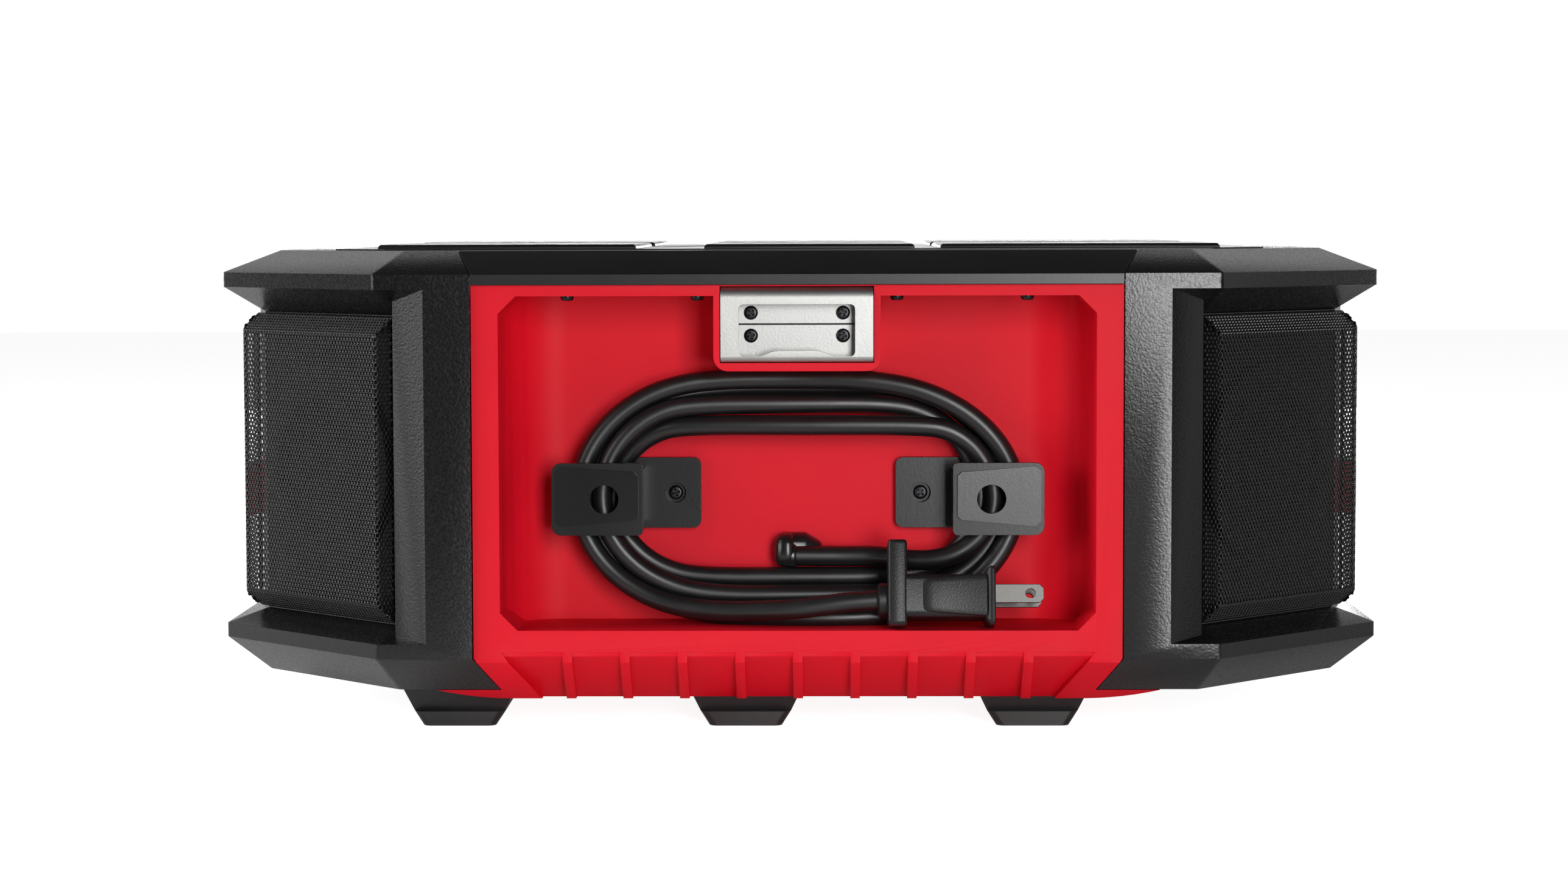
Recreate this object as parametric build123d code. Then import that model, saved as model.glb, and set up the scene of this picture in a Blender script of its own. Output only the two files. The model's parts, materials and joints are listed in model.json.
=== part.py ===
from build123d import *
import os
from math import cos, pi, radians, sin, sqrt, tan

os.makedirs("parts", exist_ok=True)

# Stackable jobsite radio. Millimetres, +Z up, origin under the middle of the body on the ground.
# The cord side faces -Y, the control side +Y.

# ---- body: an octagon in plan with an upper and a lower lip --------------------------------
body_width = 413.0          # across the end lips, X
body_depth = 310.0          # across the front and rear lips, Y
corner_cut = 62.5           # leg of each 45 degree corner
corner_round = 2.4          # radius of the eight upright lip edges
under_z = 14.0              # underside of the body, the height of the feet
low_under_z = 26.5          # lower lip, under edge
low_top_z = 31.5            # lower lip, top edge
opening_low_z = 36.5        # lower end of the corner faces
opening_top_z = 143.5       # upper end of the corner faces
lip_under_z = 152.5         # upper lip, under edge
lip_top_z = 157.7           # upper lip, top edge
deck_z = 165.5              # flat top of the shells
low_inset = 14.5            # underside, in from the lip
face_inset = 14.0           # corner faces, in from the lip
top_inset = 19.5            # flat top, in from the lip
edge_break = 0.6            # small chamfer along the lips
end_step = 10.5             # flat end face, in from the lip
flat_half = 127.0           # half length of the upright rear and front faces
flat_bevel = 6.5            # how far their slanted sides fall back before a step
end_flat_half = 76.0        # half length of the upright end faces
shell_wall = 3.0            # wall of the black end shells
center_wall = 4.0           # wall of the red middle shell
split_half = 111.0          # half width of the red middle
seam_low_half = 103.0       # its side seams lean in over the lower bevel to here
seam_top_half = 117.0       # and out over the upper bevel to here
belly_z = 10.2              # lowest face of the red underside
belly_half = 125.0          # its curved ends reach under the black shells
belly_flat_half = 97.0      # its flat middle
belly_bow = 1.0             # how far the curved ends bow down from a straight line
belly_front_inset = 43.0    # its front end, in from the front lip, clear of the stack latch
belly_front_y = body_depth / 2 - belly_front_inset
split_gap = 0.3             # gap between the middle and each end shell
rim_step = 1.6              # red rim, in from the lips
cover_split_z = 154.0       # where the top cover sits on the red middle

# ---- rear recess ---------------------------------------------------------------------------
recess_half = 101.7         # half width of the mouth
recess_low_z = 36.0
recess_top_z = 150.2
recess_depth = 34.4         # from the rim to the back wall
recess_blend = 21.0         # plan radius between side walls and back wall
recess_corner = 6.0         # chamfer of the mouth's four corners
recess_wall = 3.0
rib_count = 9
rib_pitch = 19.7
rib_width = 3.3
scoop_depth = 2.2           # sunk band that the ribs stand in
scoop_half = 89.0           # half width of the band at its open lower edge
scoop_top_half = 101.4      # and at its top
scoop_top_z = 28.6

# ---- top cover -----------------------------------------------------------------------------
pad_floor = 0.5             # raised floor of the deck above the shells
pad_height = 1.5            # pads above that floor
deck_half_x = 165.0
deck_half_y = 118.0
deck_cut = 20.0             # its corners
pad_spans = ((-148.0, -57.0), (-33.0, 41.0), (50.0, 148.0))
pad_near_y = 12.0           # pads run from here
pad_far_y = 112.0           # to here, each side of the middle
pad_break = 0.8

# ---- feet ----------------------------------------------------------------------------------
foot_pitch = 100.0
foot_offset = -18.4         # the row of feet is set off to one side
foot_rows = (("rear", -115.0), ("front", 98.0))
foot_width = 25.3           # across its sole
foot_ledge_width = 31.6     # where the toe ends and the flare begins
foot_top_width = 40.0
foot_length = 34.0
foot_ledge_z = 5.0          # top of the toe
foot_toe_radius = 3.0
foot_step = 2.6             # the toe stands out in front of the flare

# ---- speakers and grilles ------------------------------------------------------------------
grille_gap = 0.4
grille_rise = 8.6           # grille face above the corner wall
grille_slope = 6.4          # how far its top and bottom edges lean in
grille_sheet = 0.8
grille_fold = 1.2
grille_side = 0.5           # gap beside the grille, each side
grille_seat = 0.3           # the grille's edge stands off the corner wall
speaker_hole_r = 30.5
speaker_flange_r = 35.5
speaker_flange = 2.4
basket_depth = 22.0
basket_rear_r = 19.0
basket_wall = 1.6
cone_r = 27.5
cone_depth = 13.0
cone_wall = 0.8
surround_width = 4.6
surround_r = 28.5
basket_gap = 0.6
cap_r = 9.0
magnet_r = 21.0
magnet_height = 12.0

# ---- end grips -----------------------------------------------------------------------------
pocket_half_y = 55.0
pocket_low_z = 48.0
pocket_top_z = 128.0
pocket_depth = 40.0         # in from the end face
grip_low_z = 69.0
grip_top_z = 88.0
grip_half = 72.0
grip_proud = 7.2            # the bar stands out from the end face
grip_bar = 15.0             # thickness of the bar
grip_break = 1.6
grip_round = 5.0
grip_end_gap = 0.4
grip_screw_y = 64.0
grip_screw_r = 2.0
grip_screw_head_r = 3.6
grip_screw_head = 2.2
screw_fit = 0.1             # clearance round a head
grip_screw_fit = 0.3        # head below the bar's face

# ---- opener --------------------------------------------------------------------------------
opener_width = 51.8
opener_low_z = 127.7
opener_top_z = 153.2
opener_sheet = 1.6
opener_depth = 9.0
opener_bend = 4.0           # radius of the bent top edge
opener_foot_bend = 2.0
opener_slit = 0.6
opener_fit = 0.3
window_width = 39.5
window_low_z = 129.7
window_top_z = 147.4
window_round = 1.7
hump_width = 25.0
hump_height = 1.9
hump_round = 8.0
hump_top = 0.6              # share of the width that is full height
boss_half = 28.4            # red frame round the opener
boss_low_z = 124.6
boss_round = 5.0
opener_screw_x = 15.7
opener_screw_drop = 3.9     # screws above and below the slit
opener_screw_head_r = 2.4
opener_screw_head = 1.3
opener_screw_r = 1.2
opener_screw_length = 9.0

# ---- screws in the recess ceiling ----------------------------------------------------------
ceiling_screw_x = (-78.4, -34.0, 34.0, 78.4)
ceiling_screw_inset = 5.0   # behind the rim
ceiling_screw_head_r = 2.3
ceiling_screw_head = 1.6
ceiling_screw_r = 1.1
ceiling_screw_length = 2.6

# ---- cord hooks ----------------------------------------------------------------------------
hook_z = 79.8               # middle height
hook_base_in = 34.0         # base plate, from the middle outwards
hook_base_out = 74.7
hook_base_height = 24.6
hook_base = 4.0
hook_base_up = 1.0          # the base sits higher than the front plate
hook_neck_in = 53.5
hook_neck_out = 58.2
hook_plate_out = 85.0
hook_plate_height = 25.0
hook_plate = 3.4
hook_reach = 20.5           # front of the plate from the back wall
hook_hole_r = 5.0
hook_hole_x = 66.8
hook_round = 2.6
hook_rib = 1.0
hook_rib_edge = 1.2
hook_rib_end = 6.0
hook_rib_width = 3.6
hook_screw_x = 42.8
hook_screw_head_r = 2.5
hook_screw_sink_r = 3.5
hook_screw_sink = 2.2
hook_screw_head = 1.6
hook_screw_r = 1.5
hook_screw_length = 6.5

# ---- cord ----------------------------------------------------------------------------------
cord_r = 3.5
gland_left_x = -8.3
gland_right_x = 8.2
gland_low_z = 55.0
gland_top_z = 66.6
gland_height = 11.4         # out from the back wall
gland_round = 5.0
coil_outer_half = 76.8
coil_outer_up = 43.4
coil_outer_z = 80.2
coil_inner_half = 58.8
coil_inner_up = 23.0
coil_inner_round = 15.0
coil_inner_z = 77.6
coil_front_y = -135.9
coil_back_y = -123.2
lead_in_points = (
    (gland_right_x, -126.0, 58.7),
    (18.0, -126.0, 58.7),
    (29.0, -126.9, 59.8),
    (42.0, -127.8, 62.8),
    (53.0, -128.6, 67.4),
)
lead_out_points = (
    (-64.0, -139.6, 57.0),
    (-51.0, -139.6, 50.4),
    (-36.0, -139.9, 45.6),
    (-19.0, -141.4, 43.6),
    (-2.0, -144.0, 44.8),
    (13.0, -146.0, 47.6),
    (26.9, -146.0, 47.6),
)

# ---- plug ----------------------------------------------------------------------------------
plug_roll = 8.0             # the plug lies turned about its own axis
collar_length = 3.0
collar_r = 5.4
pull_length = 6.6           # tall flange to pull by
pull_down = 9.0
pull_up = 18.2
pull_half = 9.3
grip_length = 27.2
grip_half_y = 8.8
grip_half_z = 7.1
face_length = 3.2
face_half_y = 9.3
face_half_z = 10.0
plug_round = 1.2
blade_length = 16.9
blade_width = 6.35
blade_sheet = 1.5
blade_pitch = 12.7
blade_hole_r = 1.6
blade_hole_back = 4.4
blade_nose = 1.0
blade_root = 4.0

# ---- front panel ---------------------------------------------------------------------------
front_fit = 0.3
panel_front_inset = 1.2     # frame, in from the rim
panel_frame = 3.0
panel_face_inset = 16.4     # control face, in from the rim
panel_sheet = 3.0
control_low_z = 93.0
door_pocket_half = 96.0
door_pocket_low_z = 40.0
door_pocket_top_z = 89.0
door_pocket_inset = 10.8    # floor of the door pocket, in from the rim
mouth_half = 90.0
mouth_low_z = 45.0
mouth_top_z = 80.0

# ---- door ----------------------------------------------------------------------------------
door_gap = 0.5
door_sheet = 5.0
hinge_pin_r = 1.2
hinge_clearance = 0.04
hinge_gap = 0.9             # above the hinge barrel, so that the open door clears the pocket
hinge_bury = 3.0            # pin ends in the panel frame
seal_width = 2.4
seal_inset = 0.6
seal_sheet = 1.1
door_break = 0.8
seal_gap = 0.3
latch_width = 34.0
latch_height = 12.0
latch_sheet = 3.0
latch_low_z = 44.0
latch_travel = 3.0
latch_gap = 0.3
latch_pocket = 2.6
latch_break = 0.8
groove_count = 4
groove_pitch = 2.2
groove_width = 1.0
groove_depth = 0.8
groove_edge = 4.0           # in from the latch's sides

# ---- storage tray --------------------------------------------------------------------------
tray_wall = 2.4
tray_depth = 70.0

# ---- display, knob, keys -------------------------------------------------------------------
display_x = 48.0
display_drop = 25.7         # its middle, below the panel's top
display_width = 76.0
display_height = 32.0
display_fit = 0.2
lens_sheet = 2.4
lens_proud = 0.4
module_rim = 3.0
module_glass = 0.6
module_depth = 6.0
knob_x = -46.0
knob_drop = 30.7            # its middle, below the panel's top
knob_r = 21.0
knob_height = 15.0
knob_gap = 0.5
knob_wall = 2.2
knob_break = 1.4
flute_count = 30
flute_r = 1.4
flute_end = 3.0
mark_r = 1.5
mark_depth = 0.8
mark_reach = 0.62           # of the knob's radius
encoder_wall = 2.0
knob_stem_r = 3.0
stem_clearance = 0.05
encoder_side = 14.0
encoder_depth = 8.0
key_x = (20.0, 38.7, 57.3, 76.0)
key_z = 100.5
key_width = 14.0
key_height = 6.4
key_proud = 1.8
key_travel = 1.2
key_gap = 0.3
key_lip = 1.0
key_round = 1.6
key_break = 0.5
power_x = -1.0
power_r = 5.6
board_sheet = 1.6
board_low_z = 94.6
board_top_z = 105.0
board_left_x = -13.5
board_right_x = 90.0
board_post_r = 2.0
board_post_x = (-11.0, 87.5)
switch_side = 5.0
switch_height = 3.6
switch_gap = 0.2

# ---- things inside -------------------------------------------------------------------------
main_board_width = 150.0
main_board_depth = 90.0
main_board_y = 5.0
main_board_lift = 12.0      # posts under the board
sink_ends = (-65.0, -25.0)  # heat sink along X
sink_half_y = 12.0
sink_height = 9.0
chip_side = 18.0
chip_height = 2.0
can_x = (34.0, 48.0, 62.0)  # capacitors
can_y = -25.0
can_r = 5.0
can_height = 8.0
merge = 0.1                 # overlap where one form is joined to another
supply_corner = 3.0
contact_sheet = 1.0
post_r = 3.0
post_edge = 6.0             # posts, in from the board's edges
supply_width = 90.0
supply_depth = 60.0
supply_height = 42.0
supply_y = -72.0
terminal_width = 52.0
terminal_x = 52.0
terminal_height = 22.0
terminal_depth = 14.0
terminal_pitch = 10.0
blade_count = 4
contact_length = 12.0
contact_low = 5.0
contact_top = 15.0
rail_width = 5.0
rail_length = 40.0
rail_height = 9.0

# ---- stack latch under the front -----------------------------------------------------------
stack_x = 31.6
stack_width = 50.0
stack_length = 28.0
stack_sheet = 4.0
stack_front_inset = 6.0     # pull edge, in from the lip
stack_gap = 0.3
stack_break = 0.8
stack_groove_edge = 8.0     # finger groove, in from the plate's sides
stack_groove = (7.0, 3.0)   # its back and front, in from the pull edge
stack_groove_depth = 1.4
guide_wall = 3.0
guide_floor = 2.0
guide_front_inset = 17.0    # front of the guide, in from the lip

half_w = body_width / 2
half_d = body_depth / 2
rim_y = half_d - rim_step
back_wall_y = -(rim_y - recess_depth)
middle_half = split_half - split_gap / 2
end_face_x = half_w - end_step
corner_z = (opening_low_z + opening_top_z) / 2
grille_width = (corner_cut - face_inset * (2 - sqrt(2))) * sqrt(2)
panel_y = rim_y - panel_front_inset
control_y = rim_y - panel_face_inset
panel_back_y = control_y - panel_sheet
pocket_y = rim_y - door_pocket_inset
door_back_y = pocket_y + seal_sheet + seal_gap
door_front_y = door_back_y + door_sheet
hinge_y = (door_back_y + door_front_y) / 2
hinge_z = door_pocket_top_z - hinge_gap - door_sheet / 2
floor_z = under_z + center_wall
display_z = recess_top_z - display_drop
knob_z = recess_top_z - knob_drop
CORNERS = (
    ("rear_left", -1, -1),
    ("rear_right", 1, -1),
    ("front_left", -1, 1),
    ("front_right", 1, 1),
)
SIDES = (("left", -1), ("right", 1))


# ---- helpers -------------------------------------------------------------------------------
def block(x0, x1, y0, y1, z0, z1):
    """A box given by its two corners."""
    return Pos((x0 + x1) / 2, (y0 + y1) / 2, (z0 + z1) / 2) * Box(abs(x1 - x0), y1 - y0, z1 - z0)


def rod_x(x0, x1, y, z, radius):
    """A cylinder along X from x0 to x1."""
    return Pos((x0 + x1) / 2, y, z) * Rot(0, 90, 0) * Cylinder(radius, x1 - x0)


def rod_y(x, y0, y1, z, radius):
    """A cylinder along Y from y0 to y1."""
    return Pos(x, (y0 + y1) / 2, z) * Rot(90, 0, 0) * Cylinder(radius, y1 - y0)


def rod_z(x, y, z0, z1, radius):
    """A cylinder along Z from z0 to z1."""
    return Pos(x, y, (z0 + z1) / 2) * Cylinder(radius, z1 - z0)


def plan_prism(points, z0, z1):
    """A straight prism over a plan outline."""
    return extrude(Pos(0, 0, z0) * make_face(Polyline(*points, close=True)), z1 - z0, dir=(0, 0, 1))


def front_prism(face, y0, y1):
    """A face drawn as (x, z) and pushed along Y from y0 to y1."""
    return extrude(Plane((0, y0, 0), x_dir=(1, 0, 0), z_dir=(0, -1, 0)) * face, y1 - y0, dir=(0, 1, 0))


def rounded_slab(x0, x1, y0, y1, z0, z1, radius):
    """A slab seen along Y, with its four corners rounded."""
    face = Pos((x0 + x1) / 2, (z0 + z1) / 2) * RectangleRounded(x1 - x0, z1 - z0, radius)
    return front_prism(face, y0, y1)


def mirrored(shape, side):
    """The shape itself on the right, its mirror image on the left."""
    return shape if side > 0 else mirror(shape, about=Plane.YZ)


def save(shape, name):
    """Write one piece to a file of its own."""
    shape.label = name
    export_step(shape, "parts/" + name + ".step")


# ---- outer form ----------------------------------------------------------------------------
def octagon(inset, z, rounding):
    """Plan outline of the body, moved in by inset, as a face at height z."""
    w = half_w - inset
    d = half_d - inset
    cut = corner_cut - inset * (2 - sqrt(2))
    points = [(w, cut - d), (w, d - cut), (w - cut, d), (cut - w, d)]
    points += [(-x, -y) for x, y in points]
    face = make_face(Polyline(*points, close=True))
    if rounding > 0:
        face = fillet(face.vertices(), rounding)
    return Pos(0, 0, z) * face


def lip_stack(levels, rounding):
    """A solid through octagons, each given as (inset, height)."""
    return loft([octagon(inset, z, rounding) for inset, z in levels], ruled=True)


def lower_lip(skin, rounding):
    """The lower lip with the bevels below and above it."""
    under = low_under_z + 0.3 * skin
    top = low_top_z - 0.6 * skin
    return lip_stack((
        (low_inset + skin, under_z + skin),
        (skin + edge_break, under - edge_break),
        (skin, under),
        (skin, top),
        (skin + edge_break, top + edge_break / 2),
        (face_inset + skin, opening_low_z - 0.6 * skin),
    ), rounding)


def upper_lip(skin, rounding):
    """The upper lip with the bevels below and above it."""
    under = lip_under_z + 0.4 * skin
    top = lip_top_z - 0.6 * skin
    return lip_stack((
        (face_inset + skin, opening_top_z + 0.4 * skin),
        (skin + edge_break, under - edge_break / 2),
        (skin, under),
        (skin, top),
        (skin + edge_break, top + edge_break / 2),
        (top_inset + skin, deck_z - skin),
    ), rounding)


def flat_faces(skin):
    """The upright faces between the corners, out to the lips, with their slanted sides."""
    y = half_d - skin
    root_y = half_d - face_inset - skin
    root_cut = corner_cut - face_inset * (2 - sqrt(2))
    a = flat_half - skin
    b = half_w - face_inset - root_cut - skin
    rear = [(-b, -root_y), (-b, flat_bevel - y), (-a, -y), (a, -y), (b, flat_bevel - y), (b, -root_y)]
    rear_and_front = rear + [(-px, -py) for px, py in rear]
    x = end_face_x - skin
    root_x = half_w - face_inset - skin
    c = end_flat_half - skin
    e = half_d - face_inset - root_cut - skin
    ends = [(root_x, -e), (x, -c), (x, c), (root_x, e),
            (-root_x, e), (-x, c), (-x, -c), (-root_x, -e)]
    low = low_under_z + skin
    top = lip_top_z - skin
    return plan_prism(rear_and_front, low, top) + plan_prism(ends, low, top)


def body_form(skin, rounding):
    """The whole outer form, moved in by skin on every side."""
    core = extrude(octagon(face_inset + skin, opening_low_z - 0.6 * skin, 0),
                   opening_top_z - opening_low_z + skin, dir=(0, 0, 1))
    return lower_lip(skin, rounding) + core + upper_lip(skin, rounding) + flat_faces(skin)


def corner_plane(sx, sy):
    """Plane on the outer face of one corner wall: x runs along the wall, y up, z outwards."""
    reach = (half_w + half_d - corner_cut) / sqrt(2) - face_inset
    shift = (half_w - half_d) / sqrt(2)
    x = sx * (reach + shift) / sqrt(2)
    y = sy * (reach - shift) / sqrt(2)
    return Plane(origin=(x, y, corner_z), x_dir=(-sy, sx, 0), z_dir=(sx, sy, 0))


def middle_room(shift):
    """The room of the red middle and its cover, its side seams moved out by shift."""
    low = seam_low_half + shift
    mid = split_half + shift
    top = seam_top_half + shift
    right = [(low, 0), (low, under_z), (mid, low_under_z), (mid, lip_top_z), (top, deck_z),
             (top, deck_z + 1)]
    face = make_face(Polyline(*right, *[(-x, z) for x, z in reversed(right)], close=True))
    return front_prism(face, -half_d - 1, half_d + 1)


def belly(skin):
    """The red underside that hangs below the black ends, its bevels moved in by skin."""
    slope = (low_inset - edge_break) / (low_under_z - edge_break - under_z)
    top_z = under_z + skin
    wide = half_d - low_inset - skin
    drop = top_z - belly_z
    bevels = make_face(Polyline((-wide, top_z), (slope * drop - wide, belly_z), (belly_front_y, belly_z),
                                (belly_front_y + drop, top_z), close=True))
    bow_x = (belly_half + belly_flat_half) / 2
    bow_z = (belly_z + under_z - split_gap) / 2 - belly_bow
    tip_z = under_z - split_gap
    bottom = Curve() + [
        ThreePointArc((-belly_half, tip_z), (-bow_x, bow_z), (-belly_flat_half, belly_z)),
        Line((-belly_flat_half, belly_z), (belly_flat_half, belly_z)),
        ThreePointArc((belly_flat_half, belly_z), (bow_x, bow_z), (belly_half, tip_z)),
        Polyline((belly_half, tip_z), (belly_half, top_z), (-belly_half, top_z), (-belly_half, tip_z)),
    ]
    return along_x(bevels, half_w) & front_prism(make_face(bottom), -half_d, half_d)


# ---- housings ------------------------------------------------------------------------------
def end_shell(form, cavity, side):
    """A black end of the body, open to the middle, with speaker walls and a hand pocket."""
    outer = side * (half_w + 1)
    region = block(min(0, outer), max(0, outer), -half_d - 1, half_d + 1, 0, deck_z + 1)
    region -= middle_room(split_gap / 2)
    pocket_x = side * (end_face_x - pocket_depth)
    wall_x = pocket_x - side * shell_wall
    tub = block(min(wall_x, outer), max(wall_x, outer), -pocket_half_y - shell_wall,
                pocket_half_y + shell_wall, pocket_low_z - shell_wall, pocket_top_z + shell_wall)
    pocket = block(min(pocket_x, outer), max(pocket_x, outer), -pocket_half_y, pocket_half_y,
                   pocket_low_z, pocket_top_z)
    shell = (form & region) - cavity + (tub & form & region) - pocket
    for name, sx, sy in CORNERS:
        if sx == side:
            shell -= corner_plane(sx, sy) * Cylinder(speaker_hole_r, 4 * shell_wall)
    for y in (-grip_screw_y, grip_screw_y):
        shell -= rod_x(*sorted((side * (end_face_x - 2 * shell_wall), side * (end_face_x + 1))),
                       y, (grip_low_z + grip_top_z) / 2, grip_screw_r)
    return shell


def recess_cut(wall):
    """The cord recess, or with a wall its outer tub."""
    half = recess_half + wall
    back = back_wall_y + wall
    blend = recess_blend + wall
    plan = make_face(Polyline((-half, -rim_y - 2), (half, -rim_y - 2), (half, back), (-half, back),
                              close=True))
    rear_corners = plan.vertices().sort_by(Axis.Y)[-2:]
    low = recess_low_z - wall
    height = recess_top_z - recess_low_z + 2 * wall
    room = extrude(Pos(0, 0, low) * fillet(rear_corners, blend), height, dir=(0, 0, 1))
    mouth = Pos(0, low + height / 2) * Rectangle(2 * half, height)
    mouth = chamfer(mouth.vertices(), recess_corner)
    return room & front_prism(mouth, -rim_y - 2, back)


def foot_band(form):
    """The sunk band under the rear rim, less the ribs that stand in it."""
    sunk = form + belly(0) - body_form(scoop_depth, 0) - belly(scoop_depth)
    band = sunk & plan_band()
    for i in range(rib_count):
        x = (i - (rib_count - 1) / 2) * rib_pitch
        band -= block(x - rib_width / 2, x + rib_width / 2, -half_d, 0, 0, deck_z)
    return band


def plan_band():
    """The stretch of the rear under bevel that is sunk, with slanted ends."""
    outline = make_face(Polyline((-scoop_half, belly_z), (scoop_half, belly_z),
                                 (scoop_top_half, scoop_top_z), (-scoop_top_half, scoop_top_z),
                                 close=True))
    return front_prism(outline, -half_d, -half_d + 2 * low_inset)


def center_shell(form):
    """The red middle: floor, rear wall with the cord recess, and front wall with the panel opening."""
    region = block(-half_w, half_w, -rim_y, rim_y, 0, cover_split_z) & middle_room(-split_gap / 2)
    wings = block(-half_w, half_w, -half_d, half_d, 0, under_z - split_gap)
    shell = ((form + belly(0)) & (region + wings)) - body_form(center_wall, 0)
    shell += recess_cut(recess_wall) & region
    shell -= recess_cut(0)
    boss = rounded_slab(-boss_half, boss_half, -rim_y, back_wall_y + recess_wall, boss_low_z,
                        recess_top_z + 2 * recess_wall, boss_round)
    shell += boss & region
    shell -= opener_block(opener_fit)
    shell -= foot_band(form)
    shell -= block(-recess_half, recess_half, 0, rim_y + 1, recess_low_z, recess_top_z) & front_room()
    for x, z in opener_screw_places():
        shell -= rod_y(x, -half_d, opener_back_y() + opener_screw_length, z, opener_screw_r)
    for x in ceiling_screw_x:
        shell -= rod_z(x, -rim_y + ceiling_screw_inset, recess_top_z - 1,
                       recess_top_z + ceiling_screw_length, ceiling_screw_r)
    for name, side in SIDES:
        shell -= rod_y(side * hook_screw_x, back_wall_y - 1, back_wall_y + recess_wall + 1,
                       hook_z + hook_base_up, hook_screw_r)
    for x in (-1, 1):
        for y in (-1, 1):
            shell += rod_z(x * (main_board_width / 2 - post_edge),
                           main_board_y + y * (main_board_depth / 2 - post_edge), floor_z - 0.5,
                           floor_z + main_board_lift, post_r)
    return shell


def front_room():
    """The part of the front that the panel opening may cut."""
    return block(-middle_half, middle_half, rim_y - center_wall - 1, rim_y + 1, 0, deck_z)


def top_cover(form, cavity):
    """The black cover: rear and front skirts, bevels, raised deck and its stacking pads."""
    region = block(-half_w, half_w, -half_d - 1, half_d + 1, cover_split_z, deck_z + 1)
    region &= middle_room(-split_gap / 2)
    cover = (form & region) - cavity
    deck = block(-deck_half_x, deck_half_x, -deck_half_y, deck_half_y, deck_z, deck_z + pad_floor)
    cover += chamfer(deck.edges().filter_by(Axis.Z), deck_cut)
    pad_z = deck_z + pad_floor
    for x0, x1 in pad_spans:
        for y0, y1 in ((-pad_far_y, -pad_near_y), (pad_near_y, pad_far_y)):
            pad = block(x0, x1, y0, y1, pad_z, pad_z + pad_height)
            top = pad.faces().sort_by(Axis.Z)[-1]
            cover += chamfer(top.edges(), pad_break)
    return cover


# ---- feet ----------------------------------------------------------------------------------
def foot(x, y):
    """A stacking foot: a toe that widens upwards, under a flare set back behind the toe."""
    toe = loft([
        Pos(x, y, 0) * RectangleRounded(foot_width, foot_length, foot_toe_radius),
        Pos(x, y, foot_ledge_z) * RectangleRounded(foot_ledge_width, foot_length, foot_toe_radius),
    ], ruled=True)
    flare = loft([
        Pos(x, y, foot_ledge_z) * Rectangle(foot_ledge_width, foot_length - 2 * foot_step),
        Pos(x, y, under_z) * Rectangle(foot_top_width, foot_length),
    ], ruled=True)
    return toe + flare - belly(0)


# ---- speakers ------------------------------------------------------------------------------
def grille(plane):
    """The folded sheet over one speaker: upright sides, slanted top and bottom edges."""
    low = grille_pan(0)
    inner = grille_pan(grille_sheet)
    return plane * (low - inner)


def grille_pan(sheet):
    """The grille as a full block, moved in by sheet on every side but the open back."""
    half = grille_width / 2 - grille_side - sheet
    tall = (opening_top_z - opening_low_z) / 2 - grille_gap - sheet
    rise = grille_rise - sheet
    back = grille_seat if sheet == 0 else -1
    lean = tall - grille_slope
    face = make_face(Polyline((tall, back), (tall, grille_seat + 0.01), (lean, rise), (-lean, rise),
                              (-tall, grille_seat + 0.01), (-tall, back), close=True))
    side_view = Plane(origin=(-half, 0, 0), x_dir=(0, 1, 0), z_dir=(1, 0, 0))
    pan = extrude(side_view * face, 2 * half, dir=(1, 0, 0))
    if sheet == 0:
        corners = pan.edges().filter_by(lambda e: e.center().Z > rise - 0.01 and e.length > lean * 1.5
                                        and abs(abs(e.center().X) - half) < 0.01)
        pan = fillet(corners, grille_fold)
    return pan


def speaker_frame(plane):
    """Flange on the corner wall and the basket behind it."""
    flange = Pos(0, 0, speaker_flange / 2) * Cylinder(speaker_flange_r, speaker_flange)
    outer = loft([Pos(0, 0, 0) * Circle(speaker_hole_r - basket_gap),
                  Pos(0, 0, -basket_depth) * Circle(basket_rear_r)], ruled=True)
    inner = loft([Pos(0, 0, speaker_flange + 1) * Circle(cone_r + basket_gap),
                  Pos(0, 0, -basket_depth + basket_wall) * Circle(basket_rear_r - basket_wall)],
                 ruled=True)
    return plane * (flange + outer - inner)


def speaker_cone(plane):
    """Cone with its roll surround and dust cap, seated on the basket's flange."""
    top = speaker_flange
    rim = Pos(0, 0, top + cone_wall / 2) * (Cylinder(surround_r, cone_wall)
                                            - Cylinder(cone_r - surround_width, cone_wall))
    outer = loft([Pos(0, 0, top) * Circle(cone_r - surround_width),
                  Pos(0, 0, top - cone_depth) * Circle(cap_r)], ruled=True)
    inner = loft([Pos(0, 0, top + 0.01) * Circle(cone_r - surround_width - cone_wall),
                  Pos(0, 0, top - cone_depth + cone_wall) * Circle(cap_r - cone_wall)], ruled=True)
    roll = Pos(0, 0, top + cone_wall) * Torus(cone_r - surround_width / 2, surround_width / 2 - 0.2)
    roll = roll & Pos(0, 0, top + cone_wall + 5) * Cylinder(cone_r + 5, 10)
    web = Pos(0, 0, top + cone_wall / 2) * (Cylinder(cone_r + 0.5, cone_wall)
                                            - Cylinder(cone_r - surround_width - cone_wall, cone_wall))
    cap = Pos(0, 0, top - cone_depth) * (Sphere(cap_r) & Pos(0, 0, cap_r / 2 + 0.4) * Box(
        2 * cap_r, 2 * cap_r, cap_r))
    return plane * (outer - inner + web + roll + rim + cap)


def speaker_magnets():
    """The four magnets behind the baskets, one solid each."""
    magnets = []
    for name, sx, sy in CORNERS:
        back = Pos(0, 0, -basket_depth - magnet_height / 2) * Cylinder(magnet_r, magnet_height)
        magnets.append(corner_plane(sx, sy) * back)
    return Compound(children=magnets)


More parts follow.
